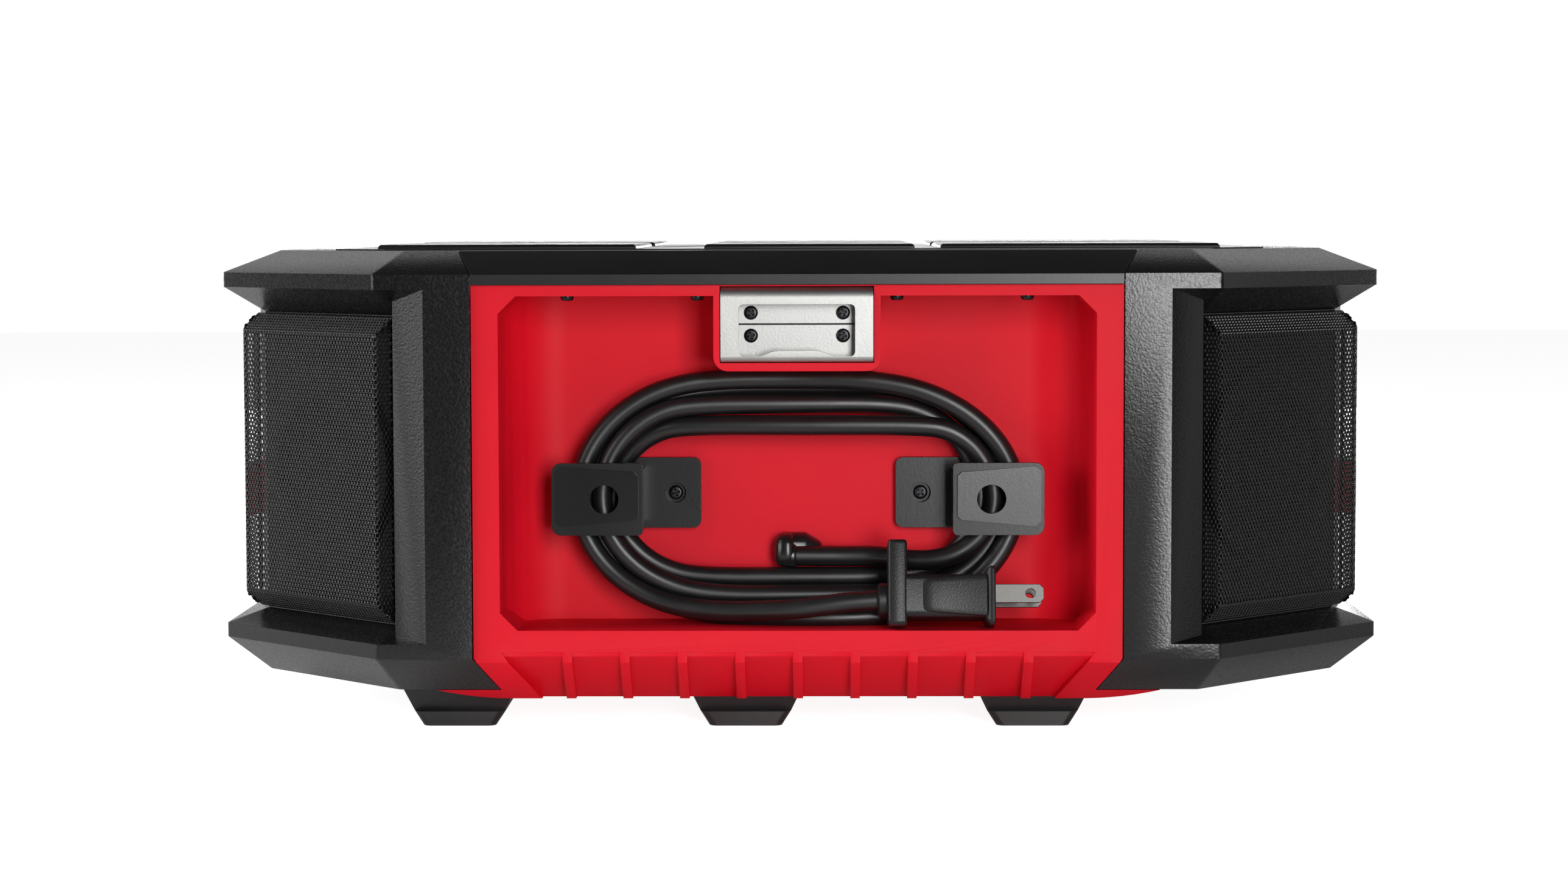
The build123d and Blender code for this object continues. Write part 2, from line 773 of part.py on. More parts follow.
# ---- end grips -----------------------------------------------------------------------------
def side_grip(side):
    """The red bar across a hand pocket: two ends on the end face, a thicker middle."""
    face_x = end_face_x + grip_proud
    bar = block(end_face_x, face_x, -grip_half, grip_half, grip_low_z, grip_top_z)
    bar = chamfer(bar.faces().sort_by(Axis.X)[-1].edges(), grip_break)
    core = block(face_x - grip_bar, end_face_x + 1, -pocket_half_y + grip_end_gap,
                 pocket_half_y - grip_end_gap, grip_low_z, grip_top_z)
    core = fillet(core.faces().sort_by(Axis.X)[0].edges().filter_by(Axis.Y), grip_round)
    grip = bar + core
    z = (grip_low_z + grip_top_z) / 2
    for y in (-grip_screw_y, grip_screw_y):
        grip -= rod_x(end_face_x - 1, face_x + 1, y, z, grip_screw_r)
        grip -= rod_x(face_x - grip_screw_head, face_x + 1, y, z, grip_screw_head_r)
    return mirrored(grip, side)


def grip_screws():
    """Two screws through each grip into the end face."""
    z = (grip_low_z + grip_top_z) / 2
    face_x = end_face_x + grip_proud
    screws = []
    for name, side in SIDES:
        for y in (-grip_screw_y, grip_screw_y):
            head = rod_x(face_x - grip_screw_head, face_x - grip_screw_fit, y, z,
                         grip_screw_head_r - screw_fit)
            shaft = rod_x(end_face_x - shell_wall, face_x - grip_screw_head, y, z,
                          grip_screw_r - screw_fit / 2)
            screws.append(mirrored(head + shaft, side))
    return Compound(children=screws)


# ---- opener --------------------------------------------------------------------------------
def opener_back_y():
    """Back of the opener, where its flanges lie on the boss."""
    return -half_d + opener_depth


def opener_profile(inset):
    """The opener's section as a (y, z) outline with a bent top edge."""
    low = opener_low_z + inset
    top = opener_top_z - inset
    front = -half_d + inset
    back = opener_back_y() - inset
    face = make_face(Polyline((front, low), (back, low), (back, top), (front, top), close=True))
    face = fillet([v for v in face.vertices() if v.Y > top - 0.1 and v.X < front + 0.1],
                  opener_bend - inset)
    face = fillet([v for v in face.vertices() if v.Y < low + 0.1 and v.X < front + 0.1],
                  opener_foot_bend - inset)
    return face


def along_x(face, half):
    """A (y, z) outline pushed both ways along X."""
    return extrude(Plane(origin=(-half, 0, 0), x_dir=(0, 1, 0), z_dir=(1, 0, 0)) * face, 2 * half,
                   dir=(1, 0, 0))


def opener_block(fit):
    """The room the opener takes in its boss."""
    half = opener_width / 2 + fit
    return block(-half, half, -half_d - 1, opener_back_y(), opener_low_z - fit, opener_top_z + fit)


def opener_screw_places():
    """Where the four screws go, two above the slit and two below."""
    slit_z = (opener_low_z + opener_top_z) / 2
    return [(x, slit_z + dz) for x in (-opener_screw_x, opener_screw_x)
            for dz in (-opener_screw_drop, opener_screw_drop)]


def opener_plate():
    """One strip of steel bent into a flat tube, its edges meeting at a slit behind the window."""
    half = opener_width / 2
    plate = along_x(opener_profile(0), half) - along_x(opener_profile(opener_sheet), half + 1)
    slit_z = (opener_low_z + opener_top_z) / 2
    back = opener_back_y()
    plate -= block(-half - 1, half + 1, back - opener_sheet - 1, back + 1, slit_z - opener_slit / 2,
                   slit_z + opener_slit / 2)
    window = Pos(0, (window_low_z + window_top_z) / 2) * RectangleRounded(
        window_width, window_top_z - window_low_z, window_round)
    flat = hump_width / 2
    tip_z = window_low_z + hump_height
    hump = make_face(Polyline((-flat, window_low_z - 1), (flat, window_low_z - 1), (flat, window_low_z),
                              (flat * hump_top, tip_z), (-flat * hump_top, tip_z),
                              (-flat, window_low_z), close=True))
    tips = [v for v in hump.vertices() if v.Y > tip_z - 0.1]
    hump = fillet(tips, hump_round)
    plate -= front_prism(window - hump, -half_d - 1, -half_d + opener_sheet + 1)
    for x, z in opener_screw_places():
        plate -= rod_y(x, back - opener_sheet - 1, back + 1, z, opener_screw_r)
    return plate


def opener_screws():
    """Four screws through the opener's flanges into the boss."""
    seat = opener_back_y() - opener_sheet
    screws = []
    for x, z in opener_screw_places():
        head = rod_y(x, seat - opener_screw_head, seat, z, opener_screw_head_r)
        shaft = rod_y(x, seat, seat + opener_screw_length, z, opener_screw_r)
        screws.append(head + shaft)
    return Compound(children=screws)


def cover_screws():
    """Four screws up through the recess ceiling."""
    y = -rim_y + ceiling_screw_inset
    screws = []
    for x in ceiling_screw_x:
        head = rod_z(x, y, recess_top_z - ceiling_screw_head, recess_top_z, ceiling_screw_head_r)
        shaft = rod_z(x, y, recess_top_z, recess_top_z + ceiling_screw_length, ceiling_screw_r)
        screws.append(head + shaft)
    return Compound(children=screws)


# ---- cord hooks ----------------------------------------------------------------------------
def cord_hook(side):
    """Base plate on the back wall, a neck, and a front plate that holds the cord in."""
    base_z = hook_z + hook_base_up
    low = base_z - hook_base_height / 2
    top = base_z + hook_base_height / 2
    base_y = back_wall_y - hook_base
    plate_y = back_wall_y - hook_reach
    plate_low = hook_z - hook_plate_height / 2
    plate_top = hook_z + hook_plate_height / 2
    base = rounded_slab(hook_base_in, hook_base_out, base_y, back_wall_y, low, top, hook_round)
    neck = block(hook_neck_in, hook_neck_out, plate_y + hook_plate / 2, base_y + hook_base / 2,
                 low + hook_round, plate_top - hook_round)
    plate = rounded_slab(hook_neck_in, hook_plate_out, plate_y, plate_y + hook_plate, plate_low,
                         plate_top, hook_round)
    hook = base + neck + plate
    for edge_z, way in ((plate_low + hook_rib_edge, 1), (plate_top - hook_rib_edge, -1)):
        rib = make_face(Polyline((hook_neck_in + hook_round, edge_z), (hook_plate_out - hook_rib_end, edge_z),
                                 (hook_neck_in + hook_round, edge_z + way * hook_rib_width), close=True))
        hook += front_prism(rib, plate_y - hook_rib, plate_y)
    hook -= rod_y(hook_hole_x, plate_y - 2, plate_y + hook_plate + 1, hook_z, hook_hole_r)
    hook -= rod_y(hook_screw_x, base_y - 1, base_y + hook_screw_sink, base_z, hook_screw_sink_r)
    hook -= rod_y(hook_screw_x, base_y, back_wall_y + 1, base_z, hook_screw_r)
    return mirrored(hook, side)


def hook_screws():
    """One screw through each hook's base into the back wall."""
    seat = back_wall_y - hook_base + hook_screw_sink
    z = hook_z + hook_base_up
    screws = []
    for name, side in SIDES:
        head = rod_y(side * hook_screw_x, seat - hook_screw_head, seat, z, hook_screw_head_r)
        shaft = rod_y(side * hook_screw_x, seat, seat + hook_screw_length, z, hook_screw_r)
        screws.append(head + shaft)
    return Compound(children=screws)


# ---- cord and plug -------------------------------------------------------------------------
def cord_gland():
    """Right-angle strain relief on the back wall; the cord leaves it sideways."""
    body = block(gland_left_x, gland_right_x, back_wall_y - gland_height, back_wall_y, gland_low_z,
                 gland_top_z)
    corners = body.edges().filter_by(Axis.Y).sort_by(Axis.Z)[-2:]
    body = fillet(corners, gland_round)
    front = body.faces().sort_by(Axis.Y)[0].edges()
    free = [e for e in front if e.center().Z > gland_low_z + 0.1 and e.center().X < gland_right_x - 0.1]
    return fillet(free, gland_round / 3)


def corner_radii(points):
    """For each inner point of a route, the largest arc that its two runs allow."""
    radii = []
    for a, b, c in zip(points, points[1:], points[2:]):
        before = Vector(*b) - Vector(*a)
        after = Vector(*c) - Vector(*b)
        turn = radians(before.get_angle(after))
        radii.append(0.45 * min(before.length, after.length) / tan(turn / 2))
    return radii


def cord_tube(points):
    """Straight runs joined by tangent arcs, with the cord's round section."""
    radii = corner_radii(points)
    print("cord radii", [round(r, 1) for r in radii])
    path = FilletPolyline(*points, radius=radii)
    start = Plane(origin=path @ 0, z_dir=path % 0)
    tube = sweep(start * Circle(cord_r), path=path)
    section = pi * cord_r ** 2
    print("tube volume", round(tube.volume, 2), "section x length", round(section * path.length, 2))
    return tube


def cord_coil():
    """Outer shape of the turns wound round both hooks."""
    outer = Pos(0, coil_outer_z) * Ellipse(coil_outer_half, coil_outer_up)
    inner = Pos(0, coil_inner_z) * RectangleRounded(2 * coil_inner_half, 2 * coil_inner_up,
                                                    coil_inner_round)
    return front_prism(outer - inner, coil_front_y, coil_back_y)


def plug_place(shape):
    """Put a plug piece, drawn along +X from zero, at the end of the cord."""
    x, y, z = lead_out_points[-1]
    return Pos(x, y, z) * Rot(-plug_roll, 0, 0) * shape


def plug_body():
    """Collar, tall pull flange, grip and face flange of the moulded plug."""
    collar = rod_x(0, collar_length + 0.5, 0, 0, collar_r)
    x1 = collar_length + pull_length
    x2 = x1 + grip_length
    pull = block(collar_length, x1, -pull_half, pull_half, -pull_down, pull_up)
    pull = fillet(pull.edges(), plug_round)
    grip = block(x1 - 1, x2 + 1, -grip_half_y, grip_half_y, -grip_half_z, grip_half_z)
    grip = fillet(grip.edges().filter_by(Axis.X), plug_round * 2)
    face = block(x2, x2 + face_length, -face_half_y, face_half_y, -face_half_z, face_half_z)
    face = fillet(face.edges().filter_by(Axis.X), plug_round)
    body = collar + pull + grip + face
    for y in (-blade_pitch / 2, blade_pitch / 2):
        body -= block(x2 + face_length - blade_root, x2 + face_length + 1, y - blade_sheet / 2,
                      y + blade_sheet / 2, -blade_width / 2, blade_width / 2)
    return plug_place(body)


def plug_blades():
    """Two flat blades with their cross holes."""
    start = collar_length + pull_length + grip_length + face_length
    blades = []
    for y in (-blade_pitch / 2, blade_pitch / 2):
        blade = block(start - blade_root, start + blade_length, y - blade_sheet / 2, y + blade_sheet / 2,
                      -blade_width / 2, blade_width / 2)
        tip = [e for e in blade.edges().filter_by(Axis.Y) if e.center().X > start]
        blade = chamfer(tip, blade_nose)
        blade -= rod_y(start + blade_length - blade_hole_back, y - blade_sheet, y + blade_sheet, 0,
                       blade_hole_r)
        blades.append(plug_place(blade))
    return Compound(children=blades)


# ---- front panel ---------------------------------------------------------------------------
def front_panel():
    """Black frame in the front opening: control face above, door pocket and tray mouth below."""
    half = recess_half - front_fit
    low = recess_low_z + front_fit
    top = recess_top_z - front_fit
    panel = block(-half, half, panel_back_y, panel_y, low, top)
    panel -= block(-half + panel_frame, half - panel_frame, control_y, panel_y + 1, control_low_z,
                   top - panel_frame)
    panel -= block(-door_pocket_half, door_pocket_half, pocket_y, panel_y + 1, door_pocket_low_z,
                   door_pocket_top_z)
    panel -= block(-mouth_half, mouth_half, panel_back_y - 1, panel_y, mouth_low_z, mouth_top_z)
    panel -= block(-latch_width / 2 - 1, latch_width / 2 + 1, door_back_y, panel_y + 1,
                   low + panel_frame / 2, door_pocket_low_z + 1)
    panel -= block(display_x - display_width / 2, display_x + display_width / 2, panel_back_y - 1,
                   control_y + 1, display_z - display_height / 2, display_z + display_height / 2)
    panel -= rod_y(knob_x, panel_back_y - 1, control_y + 1, knob_z, knob_stem_r + stem_clearance)
    for x in key_x:
        panel -= block(x - key_width / 2 - key_gap, x + key_width / 2 + key_gap, panel_back_y - 1,
                       control_y + 1, key_z - key_height / 2 - key_gap, key_z + key_height / 2 + key_gap)
    panel -= rod_y(power_x, panel_back_y - 1, control_y + 1, key_z, power_r + key_gap)
    panel -= rod_x(-door_pocket_half - hinge_bury, door_pocket_half + hinge_bury, hinge_y, hinge_z,
                   hinge_pin_r)
    for x in board_post_x:
        panel += rod_y(x, board_front_y(), panel_back_y + 0.5, key_z, board_post_r)
    return panel


def board_front_y():
    """Front of the key board: the switches' tops stop just short of the pressed keys."""
    return panel_back_y - key_gap - key_lip - key_travel - switch_gap - switch_height


def display_lens():
    """Clear window over the display."""
    half = display_width / 2 - display_fit
    tall = display_height / 2 - display_fit
    lens = block(display_x - half, display_x + half, control_y + lens_proud - lens_sheet,
                 control_y + lens_proud, display_z - tall, display_z + tall)
    return chamfer(lens.faces().sort_by(Axis.Y)[-1].edges(), lens_proud / 2)


def display_module():
    """The display behind its window, held on the panel's back."""
    half = display_width / 2 + module_rim
    tall = display_height / 2 + module_rim
    module = block(display_x - half, display_x + half, panel_back_y - module_depth, panel_back_y,
                   display_z - tall, display_z + tall)
    glass = block(display_x - display_width / 2 + 1, display_x + display_width / 2 - 1,
                  panel_back_y - 0.5, panel_back_y + module_glass, display_z - display_height / 2 + 1,
                  display_z + display_height / 2 - 1)
    return module + glass


def volume_knob():
    """Fluted cap with a stem that turns in the panel."""
    back = control_y + knob_gap
    front = back + knob_height
    cap = rod_y(knob_x, back, front, knob_z, knob_r)
    cap = chamfer(cap.faces().sort_by(Axis.Y)[-1].edges(), knob_break)
    cap -= rod_y(knob_x, back - 1, front - knob_wall, knob_z, knob_r - knob_wall)
    for i in range(flute_count):
        angle = 360 * i / flute_count
        x = knob_x + (knob_r + flute_r * 0.5) * cos(radians(angle))
        z = knob_z + (knob_r + flute_r * 0.5) * sin(radians(angle))
        cap -= rod_y(x, back - 1, front - flute_end, z, flute_r)
    mark_z = knob_z + knob_r * mark_reach
    cap -= rod_y(knob_x, front - mark_depth, front + 1, mark_z, mark_r)
    stem_end = panel_back_y - encoder_depth + encoder_wall
    return cap + rod_y(knob_x, stem_end, front - knob_wall / 2, knob_z, knob_stem_r)


def knob_encoder():
    """Rotary encoder behind the panel, with the bore that the stem turns in."""
    half = encoder_side / 2
    case = block(knob_x - half, knob_x + half, panel_back_y - encoder_depth, panel_back_y, knob_z - half,
                 knob_z + half)
    return case - rod_y(knob_x, panel_back_y - encoder_depth + encoder_wall / 2, panel_back_y + 1, knob_z,
                        knob_stem_r + stem_clearance)


def key_cap(x):
    """A key with the lip that keeps it behind the panel."""
    cap = rounded_slab(x - key_width / 2, x + key_width / 2, panel_back_y - key_gap - key_lip,
                       control_y + key_proud, key_z - key_height / 2, key_z + key_height / 2, key_round)
    cap = chamfer(cap.faces().sort_by(Axis.Y)[-1].edges(), key_break)
    lip = block(x - key_width / 2 - key_lip, x + key_width / 2 + key_lip,
                panel_back_y - key_gap - key_lip, panel_back_y - key_gap, key_z - key_height / 2 - key_lip,
                key_z + key_height / 2 + key_lip)
    return cap + lip


def power_button():
    """The round power key."""
    cap = rod_y(power_x, panel_back_y - key_gap - key_lip, control_y + key_proud, key_z, power_r)
    cap = chamfer(cap.faces().sort_by(Axis.Y)[-1].edges(), key_break)
    return cap + rod_y(power_x, panel_back_y - key_gap - key_lip, panel_back_y - key_gap, key_z,
                       power_r + key_lip)


def key_board():
    """Small circuit board with one switch behind each key."""
    front = board_front_y()
    board = block(board_left_x, board_right_x, front - board_sheet, front, board_low_z, board_top_z)
    for x in (power_x,) + key_x:
        board += block(x - switch_side / 2, x + switch_side / 2, front - 0.1, front + switch_height,
                       key_z - switch_side / 2, key_z + switch_side / 2)
    return board


# ---- tray, door and latch ------------------------------------------------------------------
def storage_tray():
    """The compartment behind the door, open to the front."""
    back = panel_back_y - tray_depth
    tray = block(-mouth_half - tray_wall, mouth_half + tray_wall, back, panel_back_y,
                 mouth_low_z - tray_wall, mouth_top_z + tray_wall)
    return tray - block(-mouth_half, mouth_half, back + tray_wall, panel_back_y + 1, mouth_low_z,
                        mouth_top_z)


def charge_terminal():
    """Slide-on terminal for a tool battery, on the tray's floor against its back."""
    back = panel_back_y - tray_depth + tray_wall
    half = terminal_width / 2
    base = block(terminal_x - half, terminal_x + half, back, back + terminal_depth, mouth_low_z,
                 mouth_low_z + terminal_height)
    for side in (-1, 1):
        x0 = terminal_x + side * (half - rail_width)
        x1 = terminal_x + side * half
        base += block(min(x0, x1), max(x0, x1), back, back + rail_length, mouth_low_z,
                      mouth_low_z + rail_height)
    for i in range(blade_count):
        x = terminal_x + (i - (blade_count - 1) / 2) * terminal_pitch
        base += block(x - contact_sheet / 2, x + contact_sheet / 2, back + terminal_depth - merge,
                      back + terminal_depth + contact_length,
                      mouth_low_z + contact_low, mouth_low_z + contact_top)
    return base


def storage_door():
    """Door with the hinge barrel along its upper edge and a pocket for the latch."""
    half = door_pocket_half - door_gap
    low = door_pocket_low_z + door_gap
    door = block(-half, half, door_back_y, door_front_y, low, hinge_z)
    front_low = [e for e in door.edges() if e.center().Y > door_front_y - 0.1 and e.center().Z < hinge_z - 1]
    door = chamfer(front_low, door_break)
    door += rod_x(-half, half, hinge_y, hinge_z, door_sheet / 2)
    door -= rod_x(-half - 1, half + 1, hinge_y, hinge_z, hinge_pin_r + hinge_clearance)
    door -= block(-latch_width / 2 - latch_gap, latch_width / 2 + latch_gap,
                  door_front_y - latch_pocket, door_front_y + 1, latch_low_z - latch_gap,
                  latch_low_z + latch_height + latch_travel + latch_gap)
    return door


def door_latch():
    """Sliding latch in the door, with a finger groove."""
    back = door_front_y - latch_pocket + latch_gap
    latch = block(-latch_width / 2, latch_width / 2, back, back + latch_sheet, latch_low_z,
                  latch_low_z + latch_height)
    latch = chamfer(latch.faces().sort_by(Axis.Y)[-1].edges(), latch_break)
    for i in range(groove_count):
        z = latch_low_z + latch_height / 2 + (i - (groove_count - 1) / 2) * groove_pitch
        latch -= block(-latch_width / 2 + groove_edge, latch_width / 2 - groove_edge,
                       back + latch_sheet - groove_depth, back + latch_sheet + 1,
                       z - groove_width / 2, z + groove_width / 2)
    return latch


def door_seal():
    """Rubber ring in the door pocket round the tray's mouth."""
    inner = seal_inset
    outer = seal_inset + seal_width
    ring = block(-mouth_half - outer, mouth_half + outer, pocket_y, pocket_y + seal_sheet,
                 mouth_low_z - outer, mouth_top_z + outer)
    return ring - block(-mouth_half - inner, mouth_half + inner, pocket_y - 1, pocket_y + seal_sheet + 1,
                        mouth_low_z - inner, mouth_top_z + inner)


def door_hinge_pin():
    """Pin along the door's upper edge, held in the panel frame at both ends."""
    half = door_pocket_half + hinge_bury
    return rod_x(-half, half, hinge_y, hinge_z, hinge_pin_r)


# ---- things inside -------------------------------------------------------------------------
def main_board():
    """Circuit board on four posts, with a heat sink and its larger parts."""
    low = floor_z + main_board_lift
    half_x = main_board_width / 2
    half_y = main_board_depth / 2
    top = low + board_sheet
    board = block(-half_x, half_x, main_board_y - half_y, main_board_y + half_y, low, top)
    board += block(*sink_ends, main_board_y - sink_half_y, main_board_y + sink_half_y, top - merge,
                   top + sink_height)
    board += block(0, chip_side, main_board_y - chip_side / 2, main_board_y + chip_side / 2,
                   top - merge, top + chip_height)
    for x in can_x:
        board += rod_z(x, can_y, top - merge, top + can_height, can_r)
    return board


def power_supply():
    """Mains supply in its case on the floor behind the recess."""
    half_x = supply_width / 2
    case = block(-half_x, half_x, supply_y - supply_depth / 2, supply_y + supply_depth / 2, floor_z,
                 floor_z + supply_height)
    return chamfer(case.edges().filter_by(Axis.Z), supply_corner)


# ---- stack latch ---------------------------------------------------------------------------
def stack_latch():
    """Red sliding plate under the front that locks onto the unit below."""
    front = half_d - stack_front_inset
    top = under_z - stack_gap
    plate = block(stack_x - stack_width / 2, stack_x + stack_width / 2, front - stack_length, front,
                  top - stack_sheet, top)
    plate = chamfer(plate.faces().sort_by(Axis.Y)[-1].edges(), stack_break)
    half = stack_width / 2 - stack_groove_edge
    return plate - block(stack_x - half, stack_x + half, front - stack_groove[0], front - stack_groove[1],
                         top - stack_sheet - 1, top - stack_sheet + stack_groove_depth)


def latch_guide():
    """Black channel that carries the stack latch under the floor."""
    front = half_d - guide_front_inset
    plate_back = half_d - stack_front_inset - stack_length
    low = under_z - 2 * stack_gap - stack_sheet - guide_floor
    half = stack_width / 2 + stack_gap
    guide = block(stack_x - half - guide_wall, stack_x + half + guide_wall,
                  plate_back - stack_gap - guide_wall, front, low, under_z)
    return guide - block(stack_x - half, stack_x + half, plate_back - stack_gap, front + 1,
                         low + guide_floor, under_z + 1)


# ---- write every piece ---------------------------------------------------------------------
def write_all():
    form = body_form(0, corner_round)
    cavity = body_form(shell_wall, 0)
    save(center_shell(form), "center_shell")
    for name, side in SIDES:
        save(end_shell(form, cavity, side), name + "_end_shell")
        save(side_grip(side), "side_grip_" + name)
        save(cord_hook(side), "cord_hook_" + name)
    save(top_cover(form, cavity), "top_cover")
    save(grip_screws(), "grip_screws")
    save(hook_screws(), "hook_screws")
    save(cover_screws(), "cover_screws")
    for row, y in foot_rows:
        for i, place in enumerate(("left", "middle", "right")):
            save(foot(foot_offset + (i - 1) * foot_pitch, y), "foot_" + row + "_" + place)
    for name, sx, sy in CORNERS:
        plane = corner_plane(sx, sy)
        save(grille(plane), "grille_" + name)
        save(speaker_frame(plane), "speaker_frame_" + name)
        save(speaker_cone(plane), "speaker_cone_" + name)
    save(speaker_magnets(), "speaker_magnets")
    save(opener_plate(), "opener_plate")
    save(opener_screws(), "opener_screws")
    save(cord_gland(), "cord_gland")
    save(cord_tube(lead_in_points), "cord_lead_in")
    save(cord_coil(), "cord_coil")
    save(cord_tube(lead_out_points), "cord_lead_out")
    save(plug_body(), "plug_body")
    save(plug_blades(), "plug_blades")
    save(front_panel(), "front_panel")
    save(display_lens(), "display_lens")
    save(display_module(), "display_module")
    save(volume_knob(), "volume_knob")
    save(knob_encoder(), "knob_encoder")
    save(power_button(), "power_button")
    for i, x in enumerate(key_x):
        save(key_cap(x), "key_" + str(i + 1))
    save(key_board(), "key_board")
    save(storage_tray(), "storage_tray")
    save(charge_terminal(), "charge_terminal")
    save(storage_door(), "storage_door")
    save(door_hinge_pin(), "door_hinge_pin")
    save(door_latch(), "door_latch")
    save(door_seal(), "door_seal")
    save(main_board(), "main_board")
    save(power_supply(), "power_supply")
    save(stack_latch(), "stack_latch")
    save(latch_guide(), "latch_guide")


write_all()
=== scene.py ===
import json
from math import ceil, copysign, cos, hypot, pi, radians, sin, sqrt

import bmesh
import bpy
from mathutils import Matrix, Vector

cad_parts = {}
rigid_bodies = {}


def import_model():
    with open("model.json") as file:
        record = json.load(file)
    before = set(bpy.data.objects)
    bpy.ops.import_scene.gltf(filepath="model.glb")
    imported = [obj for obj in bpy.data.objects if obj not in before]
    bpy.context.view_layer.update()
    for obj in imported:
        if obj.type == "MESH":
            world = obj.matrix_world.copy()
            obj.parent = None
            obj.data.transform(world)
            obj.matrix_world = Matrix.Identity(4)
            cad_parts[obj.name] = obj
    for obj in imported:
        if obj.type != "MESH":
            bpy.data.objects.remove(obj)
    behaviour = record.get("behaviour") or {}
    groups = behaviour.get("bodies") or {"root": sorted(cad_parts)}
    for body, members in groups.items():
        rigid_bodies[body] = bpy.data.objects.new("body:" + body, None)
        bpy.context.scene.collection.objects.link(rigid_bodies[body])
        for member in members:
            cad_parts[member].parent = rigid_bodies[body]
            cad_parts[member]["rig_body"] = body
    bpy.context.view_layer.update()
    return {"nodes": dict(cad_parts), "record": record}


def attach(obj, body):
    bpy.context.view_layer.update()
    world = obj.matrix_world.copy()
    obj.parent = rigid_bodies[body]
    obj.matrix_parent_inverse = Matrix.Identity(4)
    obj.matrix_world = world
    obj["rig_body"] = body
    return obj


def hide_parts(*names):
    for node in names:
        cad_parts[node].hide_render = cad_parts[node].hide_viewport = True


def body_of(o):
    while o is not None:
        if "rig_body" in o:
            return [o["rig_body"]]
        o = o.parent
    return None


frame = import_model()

# A stackable jobsite radio, seen from its cord side. Metres, +Z up, the origin on the ground under
# the middle of the body; the cord side faces -Y. Sizes below are written in millimetres times mm.
mm = 0.001

# ---- Camera ---------------------------------------------------------------------------------
# A short telephoto lens on a full-frame sensor, about 1.1 m in front of the rear rim and
# just above the deck, turned a little to one side.
camera_data = bpy.data.cameras.new("studio_camera")
camera_data.sensor_width = 36.0
camera_data.lens = 74.25
camera_data.clip_start = 0.05
camera = bpy.data.objects.new("studio_camera", camera_data)
camera.location = (0.01197, -1.25056, 0.17476)
camera.rotation_euler = (radians(86.264), radians(0.144), radians(0.849))
bpy.context.scene.collection.objects.link(camera)
bpy.context.scene.camera = camera


# ---- Mains cord -----------------------------------------------------------------------------
# A two-core lead in a 7 mm black PVC sheath. It leaves the gland sideways, goes nearly four times
# round the two hooks, two turns in front of two, and ends in its plug. The sheath is extruded, so it is
# smooth and satin, with a broad soft highlight and faint scuffs along its length.
def linear(code):
    """An sRGB hex colour as linear RGBA."""
    parts = [int(code[i:i + 2], 16) / 255 for i in (1, 3, 5)]
    return [c / 12.92 if c <= 0.04045 else ((c + 0.055) / 1.055) ** 2.4 for c in parts] + [1.0]


def add(tree, kind, sockets=None, to=None, **fields):
    """One shader node with its settings; sockets sets or links its inputs, to takes its output."""
    made = tree.nodes.new("ShaderNode" + kind)
    for name, value in fields.items():
        setattr(made, name, value)
    for name, value in (sockets or {}).items():
        if isinstance(value, bpy.types.NodeSocket):
            tree.links.new(value, made.inputs[name])
        else:
            made.inputs[name].default_value = value
    if to:
        tree.links.new(next(out for out in made.outputs if out.enabled), to)
    return made


def start_material(name, color, roughness, metallic=0.0):
    """A material with its shader, and the place of each point in metres for its patterns."""
    made = bpy.data.materials.new(name)
    made.use_nodes = True
    tree = made.node_tree
    tree.nodes.clear()
    shader = add(tree, "BsdfPrincipled", {"Base Color": linear(color), "Roughness": roughness,
                                          "Metallic": metallic})
    add(tree, "OutputMaterial", {"Surface": shader.outputs[0]})
    place = add(tree, "TexCoord").outputs["Object"]
    return made, tree, shader, place


def place_piece(piece, body):
    """Put a finished piece in the scene, on its body."""
    bpy.context.scene.collection.objects.link(piece)
    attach(piece, body)
    return piece


pvc_sheath, tree, shader, place = start_material("pvc_sheath_extruded", "#121213", 0.36)
scuffs = add(tree, "TexNoise", {"Vector": place, "Scale": 1 / (9 * mm), "Detail": 4.0})
add(tree, "MapRange", {"Value": scuffs.outputs["Fac"], "To Min": 0.3, "To Max": 0.44},
    to=shader.inputs["Roughness"])
add(tree, "Mix", {0: scuffs.outputs["Fac"], 6: linear("#0e0e0f"), 7: linear("#171718")},
    to=shader.inputs["Base Color"], data_type="RGBA")
fine = add(tree, "TexNoise", {"Vector": place, "Scale": 1 / (0.9 * mm), "Detail": 2.0})
add(tree, "Bump", {"Height": fine.outputs["Fac"], "Distance": 0.02 * mm}, to=shader.inputs["Normal"])
shader.inputs["IOR"].default_value = 1.53

cord_r = 3.5 * mm
winding_z = 79.6
end_angles = (0, 22.5, 45, 67.5, 90)
from_gland = (
    (-1.2, -126.0, 58.9),
    (8.2, -126.0, 58.8),
    (17.0, -126.0, 58.8),
    (29.0, -127.0, 59.0),
    (41.4, -131.6, 57.5),
    (52.4, -132.9, 58.9),
    (60.7, -132.7, 63.7),
    (66.2, -132.4, 70.8),
)
# one row for each quarter turn, from the right hook up and over: how far out it runs,
# its depth there and half way to the next row, and the length of the rounded end between
quarter_turns = (
    (68.4, -132.4, -132.8, 24.5),
    (25.4, -134.0, -127.8, 26.6),
    (64.8, -126.8, -126.5, 31.7),
    (28.1, -126.4, -125.7, 32.7),
    (64.2, -127.4, -126.4, 34.3),
    (32.6, -130.4, -132.2, 32.7),
    (68.7, -132.3, -132.6, 41.3),
    (33.7, -132.2, -127.8, 38.0),
    (72.1, -126.7, -125.8, 37.2),
    (37.9, -122.3, -125.4, 45.6),
    (72.7, -127.0, -128.1, 46.6),
    (40.9, -138.7, -134.9, 49.6),
    (76.7, -131.6, -133.0, 55.6),
    (41.3, -129.5, -131.2, 48.0),
    (77.0, -132.4, -134.7, 46.5),
    (38.7, -145.1, None, None),
)
